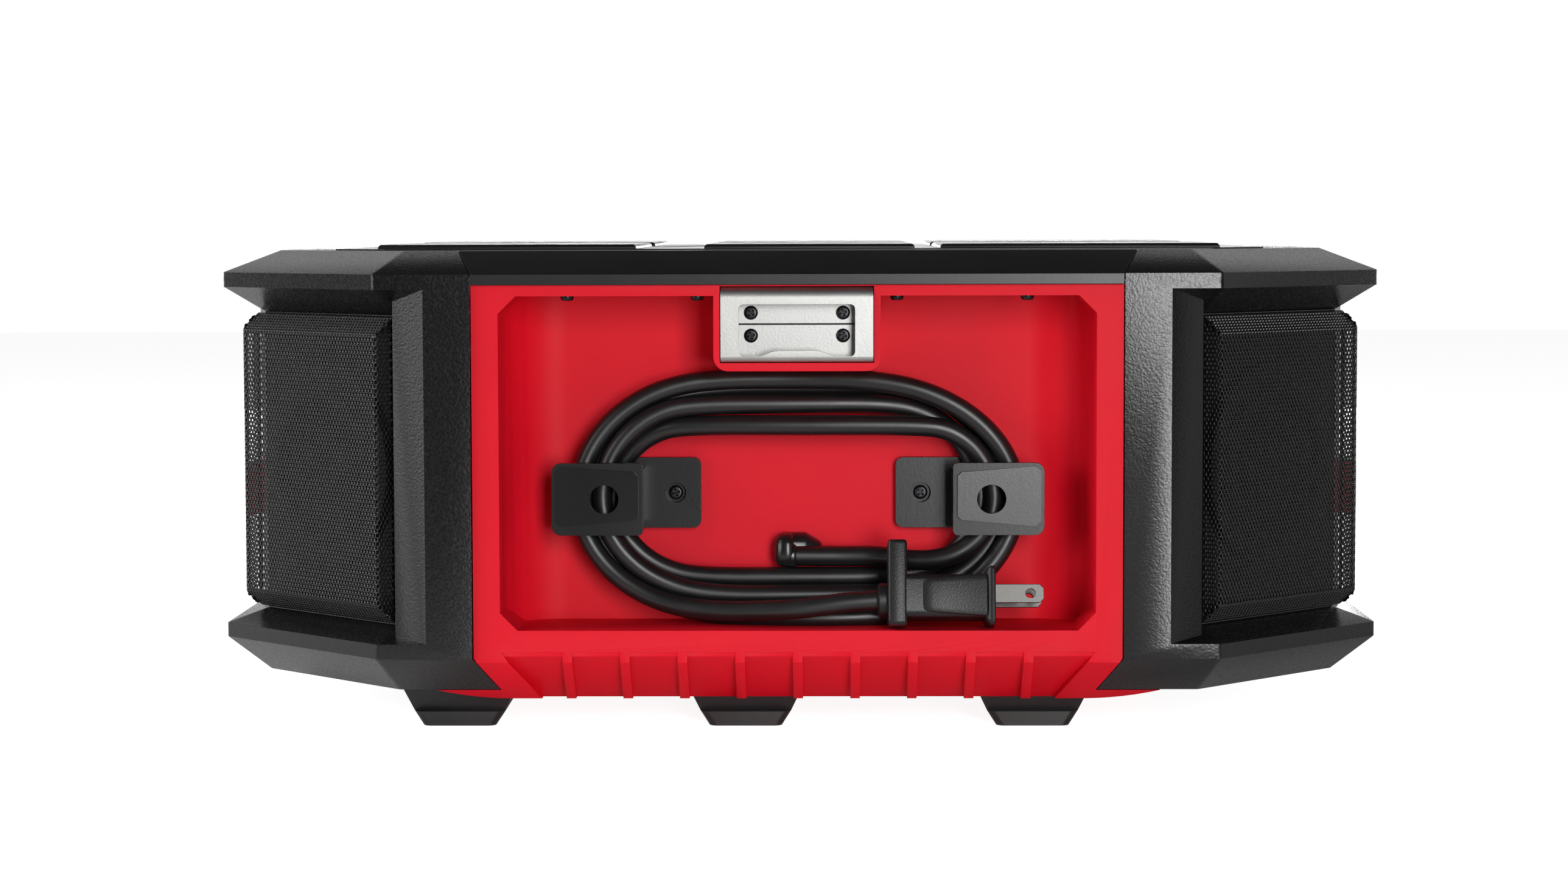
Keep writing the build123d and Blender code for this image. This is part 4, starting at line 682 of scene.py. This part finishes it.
for side, node in ((-1, "cord_hook_left"), (1, "cord_hook_right")):
    mesh = bmesh.new()
    # the base plate, with the screw's sink
    low_x, high_x, low_z, high_z = base_span
    outline = corner_points(low_x, high_x, low_z, high_z, (2.6, 2.6, 2.6, 2.6))
    front = [mesh.verts.new(Vector((x, base_front, z)) * mm) for x, z in outline]
    back = [mesh.verts.new(Vector((x, wall_y, z)) * mm) for x, z in outline]
    for k in range(len(front)):
        mesh.faces.new((front[k - 1], front[k], back[k], back[k - 1]))
    mesh.faces.new(back)
    pit = round_hole(mesh, front, (sink_x, sink_z), sink_r, base_front, base_front + sink_depth)
    mesh.faces.new(pit)
    # the neck
    low_x, high_x, low_z, high_z = neck_span
    neck = [[mesh.verts.new(Vector((x, y, z)) * mm) for y in (base_front + weld, plate_back - weld)]
            for x, z in ((low_x, low_z), (high_x, low_z), (high_x, high_z), (low_x, high_z))]
    for k in range(4):
        mesh.faces.new((neck[k - 1][0], neck[k][0], neck[k][1], neck[k - 1][1]))
    mesh.faces.new([pair[0] for pair in neck])
    mesh.faces.new([pair[1] for pair in neck][::-1])
    # the front plate, with its hole right through
    low_x, high_x, low_z, high_z = plate_span
    outline = corner_points(low_x, high_x, low_z, high_z, (1.6, 3.2, 3.2, 1.6))
    front = [mesh.verts.new(Vector((x, plate_front, z)) * mm) for x, z in outline]
    back = [mesh.verts.new(Vector((x, plate_back, z)) * mm) for x, z in outline]
    for k in range(len(front)):
        mesh.faces.new((front[k - 1], front[k], back[k], back[k - 1]))
    through = round_hole(mesh, front, (hole_x, hook_z), hole_r, plate_front, plate_back)
    edges = [mesh.edges.get((through[k - 1], through[k])) for k in range(len(through))]
    edges += [mesh.edges.get((back[k - 1], back[k])) for k in range(len(back))]
    bmesh.ops.triangle_fill(mesh, use_beauty=True, edges=edges)
    # the raised pad: proud at the neck, running out to nothing, its neck corners cut off
    before = set(mesh.verts)
    outline = [mesh.verts.new(Vector((x, plate_front, z)) * mm) for x, z in pad_outline]
    skirt = [mesh.verts.new(Vector((x, plate_front + pad_skirt, z)) * mm) for x, z in pad_outline]
    round_hole(mesh, outline, (hole_x, hook_z), hole_r, plate_front, plate_front + pad_skirt)
    for v in set(mesh.verts) - before - set(skirt):
        out_share = max(0.02, (pad_outline[3][0] - v.co.x / mm) / (pad_outline[3][0] - low_x))
        v.co.y -= pad_rise * out_share * mm
    for k in range(len(outline)):
        mesh.faces.new((outline[k - 1], outline[k], skirt[k], skirt[k - 1]))
    for v in mesh.verts:
        v.co.x *= side
    bmesh.ops.recalc_face_normals(mesh, faces=mesh.faces)
    hook = finished(node + "_moulded", mesh, hook_nylon, 30)
    place_piece(hook, "base")
    soft_edges(hook, 0.55 * mm, 3, 40)
    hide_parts(node)


# ---- Cord gland -----------------------------------------------------------------------------
# The strain relief that the cord leaves by: a glossy moulded dome snapped into the bay's wall, with
# a short ring round the cord.
gland_nylon, tree, shader, place = start_material("nylon_black_glossy", "#111112", 0.28)
flow = add(tree, "TexNoise", {"Vector": place, "Scale": 1 / (7 * mm)})
add(tree, "MapRange", {"Value": flow.outputs["Fac"], "To Min": 0.2, "To Max": 0.34},
    to=shader.inputs["Roughness"])
add(tree, "Mix", {0: flow.outputs["Fac"], 6: linear("#131314"), 7: linear("#1b1b1c")},
    to=shader.inputs["Base Color"], data_type="RGBA")
add(tree, "Bump", {"Height": flow.outputs["Fac"], "Distance": 0.03 * mm}, to=shader.inputs["Normal"])


let_in = 0.2                         # the dome's foot in the wall


def gland_ring(x, low, high, out, corner):
    """The cross-section of the dome at x: flat on the wall, rounded out from it."""
    points = [(x, wall_y + let_in, low), (x, wall_y - out + corner, low)]
    for first, z in ((-90, low + corner), (0, high - corner)):
        for k in range(1, 6):
            angle = radians(first + 18 * k)
            points.append((x, wall_y - out + corner - corner * cos(angle), z + corner * sin(angle)))
    return points + [(x, wall_y + let_in, high)]


# the round cap that the cord goes into, and behind the cord the open half with its slanted top;
# each row is x, the low and high edges, how far out from the wall, and the corners' radius
cap_rings = ((-8.3, 57.6, 64.0, 8.0, 2.4), (-7.9, 56.6, 65.0, 9.4, 3.2), (-7.0, 55.6, 65.9, 10.6, 3.9),
             (-5.6, 55.0, 66.5, 11.3, 4.3), (-4.0, 55.0, 66.6, 11.4, 4.4), (-2.5, 55.1, 66.5, 11.3, 4.4),
             (-1.9, 55.6, 66.0, 10.8, 4.3), (-1.6, 56.4, 65.2, 10.0, 3.9))
half_rings = ((-4.0, 55.0, 66.6, 7.6, 4.6), (2.4, 55.0, 66.6, 7.4, 4.6), (3.0, 55.0, 66.3, 7.2, 4.4),
              (7.4, 55.0, 63.6, 6.0, 3.4), (8.2, 55.4, 62.9, 5.2, 2.8))
mouth_y, mouth_z = -126.0, 58.9
mouth_rings = [[(x, mouth_y + r * cos(pi * i / 16), mouth_z + r * sin(pi * i / 16)) for i in range(32)]
               for x, r in ((-4.0, 4.0), (-1.5, 4.1), (-0.9, 3.9), (-0.7, 3.4))]
for name, rings in (("cord_gland_cap", [gland_ring(*row) for row in cap_rings]),
                    ("cord_gland_open_half", [gland_ring(*row) for row in half_rings]),
                    ("cord_gland_mouth", mouth_rings)):
    part = finished(name, skin_over(rings), gland_nylon, 50)
    place_piece(part, "base")
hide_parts("cord_gland")


# ---- Bottle opener --------------------------------------------------------------------------
# A plate of 1.6 mm stainless steel, folded over the boss and screwed to it, with a window whose
# lower edge has the tooth. Bead blasted, so it is a soft silver with bright cut edges.
blasted_steel, tree, shader, place = start_material("stainless_bead_blasted", "#aeaeac", 0.46, 1.0)
blast = add(tree, "TexNoise", {"Vector": place, "Scale": 1 / (0.7 * mm), "Detail": 3.0})
add(tree, "Bump", {"Height": blast.outputs["Fac"], "Distance": 0.035 * mm}, to=shader.inputs["Normal"])
cloud = add(tree, "TexNoise", {"Vector": place, "Scale": 1 / (15 * mm), "Detail": 3.0})
add(tree, "Mix", {0: cloud.outputs["Fac"], 6: linear("#a4a4a2"), 7: linear("#b6b6b4")},
    to=shader.inputs["Base Color"], data_type="RGBA")
add(tree, "MapRange", {"Value": cloud.outputs["Fac"], "To Min": 0.4, "To Max": 0.52},
    to=shader.inputs["Roughness"])
softened("opener_plate", 0.25 * mm, blasted_steel)

# the plate's folded edges meet at a slit; the flat black strip in it is painted shade, standing in for the
# dark gap behind the slit
slit_shade_black, tree, shader, place = start_material("slit_painted_shade_black", "#0a0a0b", 0.7)
# a little random variation in the black of the painted shade
shade_mottle = add(tree, "TexNoise", {"Vector": place, "Scale": 1 / (2 * mm)})
add(tree, "Mix", {0: shade_mottle.outputs["Fac"], 6: linear("#080809"), 7: linear("#0f0f10")},
    to=shader.inputs["Base Color"], data_type="RGBA")
strip_half, strip_y, strip_z, strip_edge = 25.6, (-147.0, -146.05), 140.45, 0.28
strip_rings = [[(x, y, strip_z + z) for y, z in ((strip_y[0], -strip_edge), (strip_y[1], -strip_edge),
                                                 (strip_y[1], strip_edge), (strip_y[0], strip_edge))]
               for x in (-strip_half, -strip_half / 2, strip_half / 2, strip_half)]
# the black strip is painted shade in the slit, not a part of the radio
place_piece(finished("opener_slit_painted_shade", skin_over(strip_rings), slit_shade_black), "base")


# ---- Screws ---------------------------------------------------------------------------------
# Black oxide steel screws with a cross recess. The oxide is thin and lightly oiled, so the heads
# are nearly black, with a sharp glint on their rims.
oxide_steel, tree, shader, place = start_material("steel_black_oxide", "#2b2a2c", 0.3, 0.85)
oil = add(tree, "TexNoise", {"Vector": place, "Scale": 1 / (0.9 * mm), "Detail": 3.0})
add(tree, "Mix", {0: oil.outputs["Fac"], 6: linear("#1e1e20"), 7: linear("#3a393b")},
    to=shader.inputs["Base Color"], data_type="RGBA")
add(tree, "MapRange", {"Value": oil.outputs["Fac"], "To Min": 0.2, "To Max": 0.42},
    to=shader.inputs["Roughness"])


def screw(mesh, seat, facing, head_r, head, shaft_r, shaft, turned):
    """A pan-head screw: its shaft behind the seat, and a domed head with a cross recess."""
    put = Matrix.Translation(Vector(seat) * mm) @ Vector(facing).to_track_quat("Z", "Y").to_matrix().to_4x4()
    put = put @ Matrix.Rotation(radians(turned), 4, "Z") @ Matrix.Scale(mm, 4)
    profile = ((shaft_r, -shaft), (shaft_r, 0.0), (head_r, 0.0), (head_r, 0.3 * head),
               (0.95 * head_r, 0.62 * head), (0.86 * head_r, 0.86 * head), (0.72 * head_r, head))
    around = [Vector((cos(pi * i / 12), sin(pi * i / 12), 0)) for i in range(24)]
    rings = [[mesh.verts.new(put @ (r * way + Vector((0, 0, z)))) for way in around] for r, z in profile]
    for low, high in zip(rings, rings[1:]):
        for i in range(24):
            mesh.faces.new((low[i - 1], low[i], high[i], high[i - 1]))
    mesh.faces.new(rings[0][::-1])
    arm, half = 0.56 * head_r, 0.13 * head_r     # the cross recess
    mouth, pit = [], []
    for quarter in range(4):
        quarter_turn = Matrix.Rotation(radians(90 * quarter), 3, "Z")
        for x, y in ((arm, -half), (arm, half), (half, half)):
            corner = quarter_turn @ Vector((x, y, 0))
            mouth.append(mesh.verts.new(put @ (corner + Vector((0, 0, head)))))
            pit.append(mesh.verts.new(put @ (0.6 * corner + Vector((0, 0, 0.3 * head)))))
    for i in range(12):
        mesh.faces.new((mouth[i - 1], mouth[i], pit[i], pit[i - 1]))
    mesh.faces.new(pit)
    top = rings[-1]
    for quarter in range(4):
        first, arm_at = 6 * quarter, 3 * quarter
        mesh.faces.new((top[first - 1], top[first], top[first + 1], mouth[arm_at + 1], mouth[arm_at]))
        mesh.faces.new(top[first + 1:first + 6] + [mouth[(arm_at + 3) % 12], mouth[arm_at + 2],
                                                   mouth[arm_at + 1]])


# where each head sits, and the way it faces
opener_seats = [((x, -147.6, z), (0, -1, 0)) for x in (-15.7, 15.7) for z in (136.55, 144.35)]
hook_seats = [((x, -120.8, 80.8), (0, -1, 0)) for x in (-42.8, 42.8)]
ceiling_seats = [((x, -148.4, 150.2), (0, 0, -1)) for x in (-78.4, -34.0, 34.0, 78.4)]
grip_seats = [((copysign(201.0, s), y, 78.5), (s, 0, 0)) for s in (-1, 1) for y in (-64, 64)]
# radius and height of the head, radius and length of the shaft
screw_sets = (("opener_screws", opener_seats, 2.4, 1.3, 1.2, 9.0),
              ("hook_screws", hook_seats, 2.5, 1.6, 1.5, 6.5),
              ("cover_screws", ceiling_seats, 2.3, 1.6, 1.1, 2.6),
              ("grip_screws", grip_seats, 3.5, 1.9, 1.9, 8.0))
for node, seats, head_r, head, shaft_r, shaft in screw_sets:
    mesh = bmesh.new()
    for i, (seat, facing) in enumerate(seats):
        screw(mesh, seat, facing, head_r, head, shaft_r, shaft, 17 + 31 * i)
    screws = finished(node + "_crossed", mesh, oxide_steel)
    place_piece(screws, "base")
    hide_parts(node)


# ---- Front panel, knob and keys ---------------------------------------------------------------
# The side with the controls: a black ABS panel round a dark display, a volume knob, a
# power key and four keys in matt rubberised plastic.
panel_abs = moulded_abs("abs_black_panel", "#1c1c1e", "#232325", 0.5, 0.8 * mm, 0.04 * mm)
softened("front_panel", 0.5 * mm, panel_abs)
softened("latch_guide", 0.4 * mm, panel_abs)
knob_rubber = moulded_abs("rubber_black_overmoulded", "#202021", "#29292b", 0.6, 0.9 * mm, 0.05 * mm)
softened("volume_knob", 0.4 * mm, knob_rubber)
softened("power_button", 0.5 * mm, red_abs)
key_rubber = moulded_abs("key_plastic_matt", "#303033", "#3a3a3d", 0.58, 0.8 * mm, 0.03 * mm)
for node in ("key_1", "key_2", "key_3", "key_4", "door_latch"):
    softened(node, 0.45 * mm, key_rubber)
softened("stack_latch", 0.6 * mm, red_abs)


# ---- Display --------------------------------------------------------------------------------
# A liquid crystal module behind a clear polycarbonate window. The glass is dark green-grey,
# because the radio is off and its segments are clear.
window_pc, tree, shader, place = start_material("polycarbonate_clear", "#f2f5f5", 0.06)
shader.inputs["Transmission Weight"].default_value = 1.0
shader.inputs["IOR"].default_value = 1.58
smear = add(tree, "TexNoise", {"Vector": place, "Scale": 1 / (9 * mm)})
add(tree, "MapRange", {"Value": smear.outputs["Fac"], "To Min": 0.03, "To Max": 0.12},
    to=shader.inputs["Roughness"])
dress("display_lens", window_pc)
display_glass, tree, shader, place = start_material("display_glass_dark", "#1d2422", 0.15)
haze = add(tree, "TexNoise", {"Vector": place, "Scale": 1 / (20 * mm)})
add(tree, "Mix", {0: haze.outputs["Fac"], 6: linear("#1a211f"), 7: linear("#232b29")},
    to=shader.inputs["Base Color"], data_type="RGBA")
dress("display_module", display_glass)


# ---- Storage tray, door and hinge -------------------------------------------------------------
# A weathertight box under the display, to keep a telephone in: a tray, a door on a steel pin with a
# rubber seal, and a terminal that charges what lies in the tray.
tray_abs = moulded_abs("abs_charcoal_moulded", "#2a2a2c", "#333336", 0.5, 0.8 * mm, 0.03 * mm)
softened("storage_tray", 0.4 * mm, tray_abs)
softened("storage_door", 0.6 * mm, panel_abs)
softened("charge_terminal", 0.3 * mm, panel_abs)
pin_steel, tree, shader, place = start_material("steel_ground", "#b4b4b2", 0.24, 1.0)
grind = add(tree, "TexNoise", {"Vector": place, "Scale": 1 / (0.8 * mm)})
add(tree, "MapRange", {"Value": grind.outputs["Fac"], "To Min": 0.18, "To Max": 0.34},
    to=shader.inputs["Roughness"])
dress("door_hinge_pin", pin_steel)
dress("knob_encoder", pin_steel)
seal_rubber, tree, shader, place = start_material("rubber_foam_seal", "#161616", 0.85)
pores = add(tree, "TexVoronoi", {"Vector": place, "Scale": 1 / (0.9 * mm)})
add(tree, "Bump", {"Height": pores.outputs["Distance"], "Distance": 0.1 * mm}, to=shader.inputs["Normal"])
add(tree, "Mix", {0: pores.outputs["Distance"], 6: linear("#111111"), 7: linear("#1e1e1e")},
    to=shader.inputs["Base Color"], data_type="RGBA")
dress("door_seal", seal_rubber)


# ---- Inside -----------------------------------------------------------------------------------
# The boards are glass-epoxy laminate under green solder mask, and the supply sits in a case of
# zinc-plated steel. None of it shows from outside.
mask_green, tree, shader, place = start_material("laminate_green_solder_mask", "#1d5a35", 0.35)
add(tree, "TexBrick", {"Vector": place, "Scale": 1 / (1.2 * mm), "Mortar Size": 0.06,
                       "Color1": linear("#1d5a35"), "Color2": linear("#1a5431"),
                       "Mortar": linear("#2c6e46")}, to=shader.inputs["Base Color"])
for node in ("key_board", "main_board"):
    dress(node, mask_green)
zinc_steel, tree, shader, place = start_material("steel_zinc_plated", "#a9acae", 0.38, 1.0)
spangle = add(tree, "TexVoronoi", {"Vector": place, "Scale": 1 / (8 * mm)})
add(tree, "Mix", {0: spangle.outputs["Distance"], 6: linear("#9b9ea0"), 7: linear("#b9bcbe")},
    to=shader.inputs["Base Color"], data_type="RGBA")
dress("power_supply", zinc_steel)


# ---- Floor and light --------------------------------------------------------------------------
# A sweep of white studio paper. It shows white to the camera and in reflections, and still takes
# the object's shadow.
floor_mesh = bmesh.new()
floor_half = 4.0
table_edge = -0.45                   # the paper ends here, in front of the radio
for x, y in ((-floor_half, table_edge), (floor_half, table_edge), (floor_half, floor_half),
             (-floor_half, floor_half)):
    floor_mesh.verts.new((x, y, 0.0))
floor_mesh.faces.new(floor_mesh.verts[:])
floor_paper, tree, shader, place = start_material("paper_white_sweep", "#ececec", 0.9)
fibre = add(tree, "TexNoise", {"Vector": place, "Scale": 1 / (3 * mm)})
add(tree, "Mix", {0: fibre.outputs["Fac"], 6: linear("#eaeaea"), 7: linear("#eeeeee")},
    to=shader.inputs["Base Color"], data_type="RGBA")
ray = add(tree, "LightPath")
seen = add(tree, "Math", {0: ray.outputs["Is Camera Ray"], 1: ray.outputs["Is Transmission Ray"]},
           operation="MAXIMUM")
mirrored = add(tree, "Math", {0: ray.outputs["Is Glossy Ray"], 1: 0.12}, operation="MULTIPLY")
shown = add(tree, "Math", {0: seen.outputs[0], 1: mirrored.outputs[0]}, operation="MAXIMUM")
add(tree, "MapRange", {"Value": shown.outputs[0], "To Max": 0.9},
    to=shader.inputs["Emission Strength"])
shader.inputs["Emission Color"].default_value = linear("#ffffff")
floor = finished("studio_floor", floor_mesh, floor_paper)
bpy.context.scene.collection.objects.link(floor)


def softbox(name, place, width, height, power):
    """A soft rectangular lamp at place, turned to the middle of the radio."""
    data = bpy.data.lights.new(name, "AREA")
    data.shape = "RECTANGLE"
    data.size = width
    data.size_y = height
    data.energy = power
    made = bpy.data.objects.new(name, data)
    made.location = place
    made.rotation_euler = (Vector((0, 0, 90 * mm)) - Vector(place)).to_track_quat("-Z", "Y").to_euler()
    made.visible_camera = False
    bpy.context.scene.collection.objects.link(made)


# a key lamp near the camera, soft boxes at both sides, and long low lamps for the control side
softbox("box_key", (0.52, -2.05, 0.36), 0.5, 1.1, 29)
softbox("box_left", (-1.65, -0.8, 0.42), 0.7, 0.8, 8)
softbox("box_left_front", (-1.5, -1.45, 0.6), 0.35, 0.9, 5)
softbox("box_side_left", (-1.25, -0.25, 1.1), 0.6, 0.6, 16)
softbox("box_right", (1.8, -0.35, 0.4), 0.8, 0.8, 1.5)
softbox("box_rear", (0.0, 1.8, 0.14), 1.2, 0.24, 16)
softbox("box_rear_left", (-1.5, 1.0, 0.14), 0.7, 0.24, 2.5)
softbox("box_rear_right", (1.5, 1.0, 0.14), 0.7, 0.24, 2.5)

# the studio is white to the camera; gloss sees a white wall, low, beyond the radio
world = bpy.data.worlds.new("studio")
world.use_nodes = True
bpy.context.scene.world = world
tree = world.node_tree
tree.nodes.clear()
ray = add(tree, "LightPath")
seen = add(tree, "Math", {0: ray.outputs["Is Camera Ray"], 1: ray.outputs["Is Transmission Ray"]},
           operation="MAXIMUM")
toward = add(tree, "SeparateXYZ", {"Vector": add(tree, "TexCoord").outputs["Generated"]})
behind = add(tree, "MapRange", {"Value": toward.outputs[1], "From Min": 0.2, "From Max": 0.5,
                                "To Max": 0.7})
low = add(tree, "MapRange", {"Value": toward.outputs[2], "From Min": 0.54, "From Max": 0.44})
sweep = add(tree, "Math", {0: behind.outputs[0], 1: low.outputs[0]}, operation="MULTIPLY")
mirrored = add(tree, "Math", {0: ray.outputs["Is Glossy Ray"], 1: sweep.outputs[0]}, operation="MULTIPLY")
shown = add(tree, "Math", {0: seen.outputs[0], 1: mirrored.outputs[0]}, operation="MAXIMUM")
fill = add(tree, "Background", {"Color": linear("#ffffff"), "Strength": 0.03})
white = add(tree, "Background", {"Color": linear("#ffffff"), "Strength": 1.0})
both = add(tree, "MixShader", {0: shown.outputs[0], 1: fill.outputs[0], 2: white.outputs[0]})
add(tree, "OutputWorld", {"Surface": both.outputs[0]})
bpy.context.scene.view_settings.view_transform = "Standard"
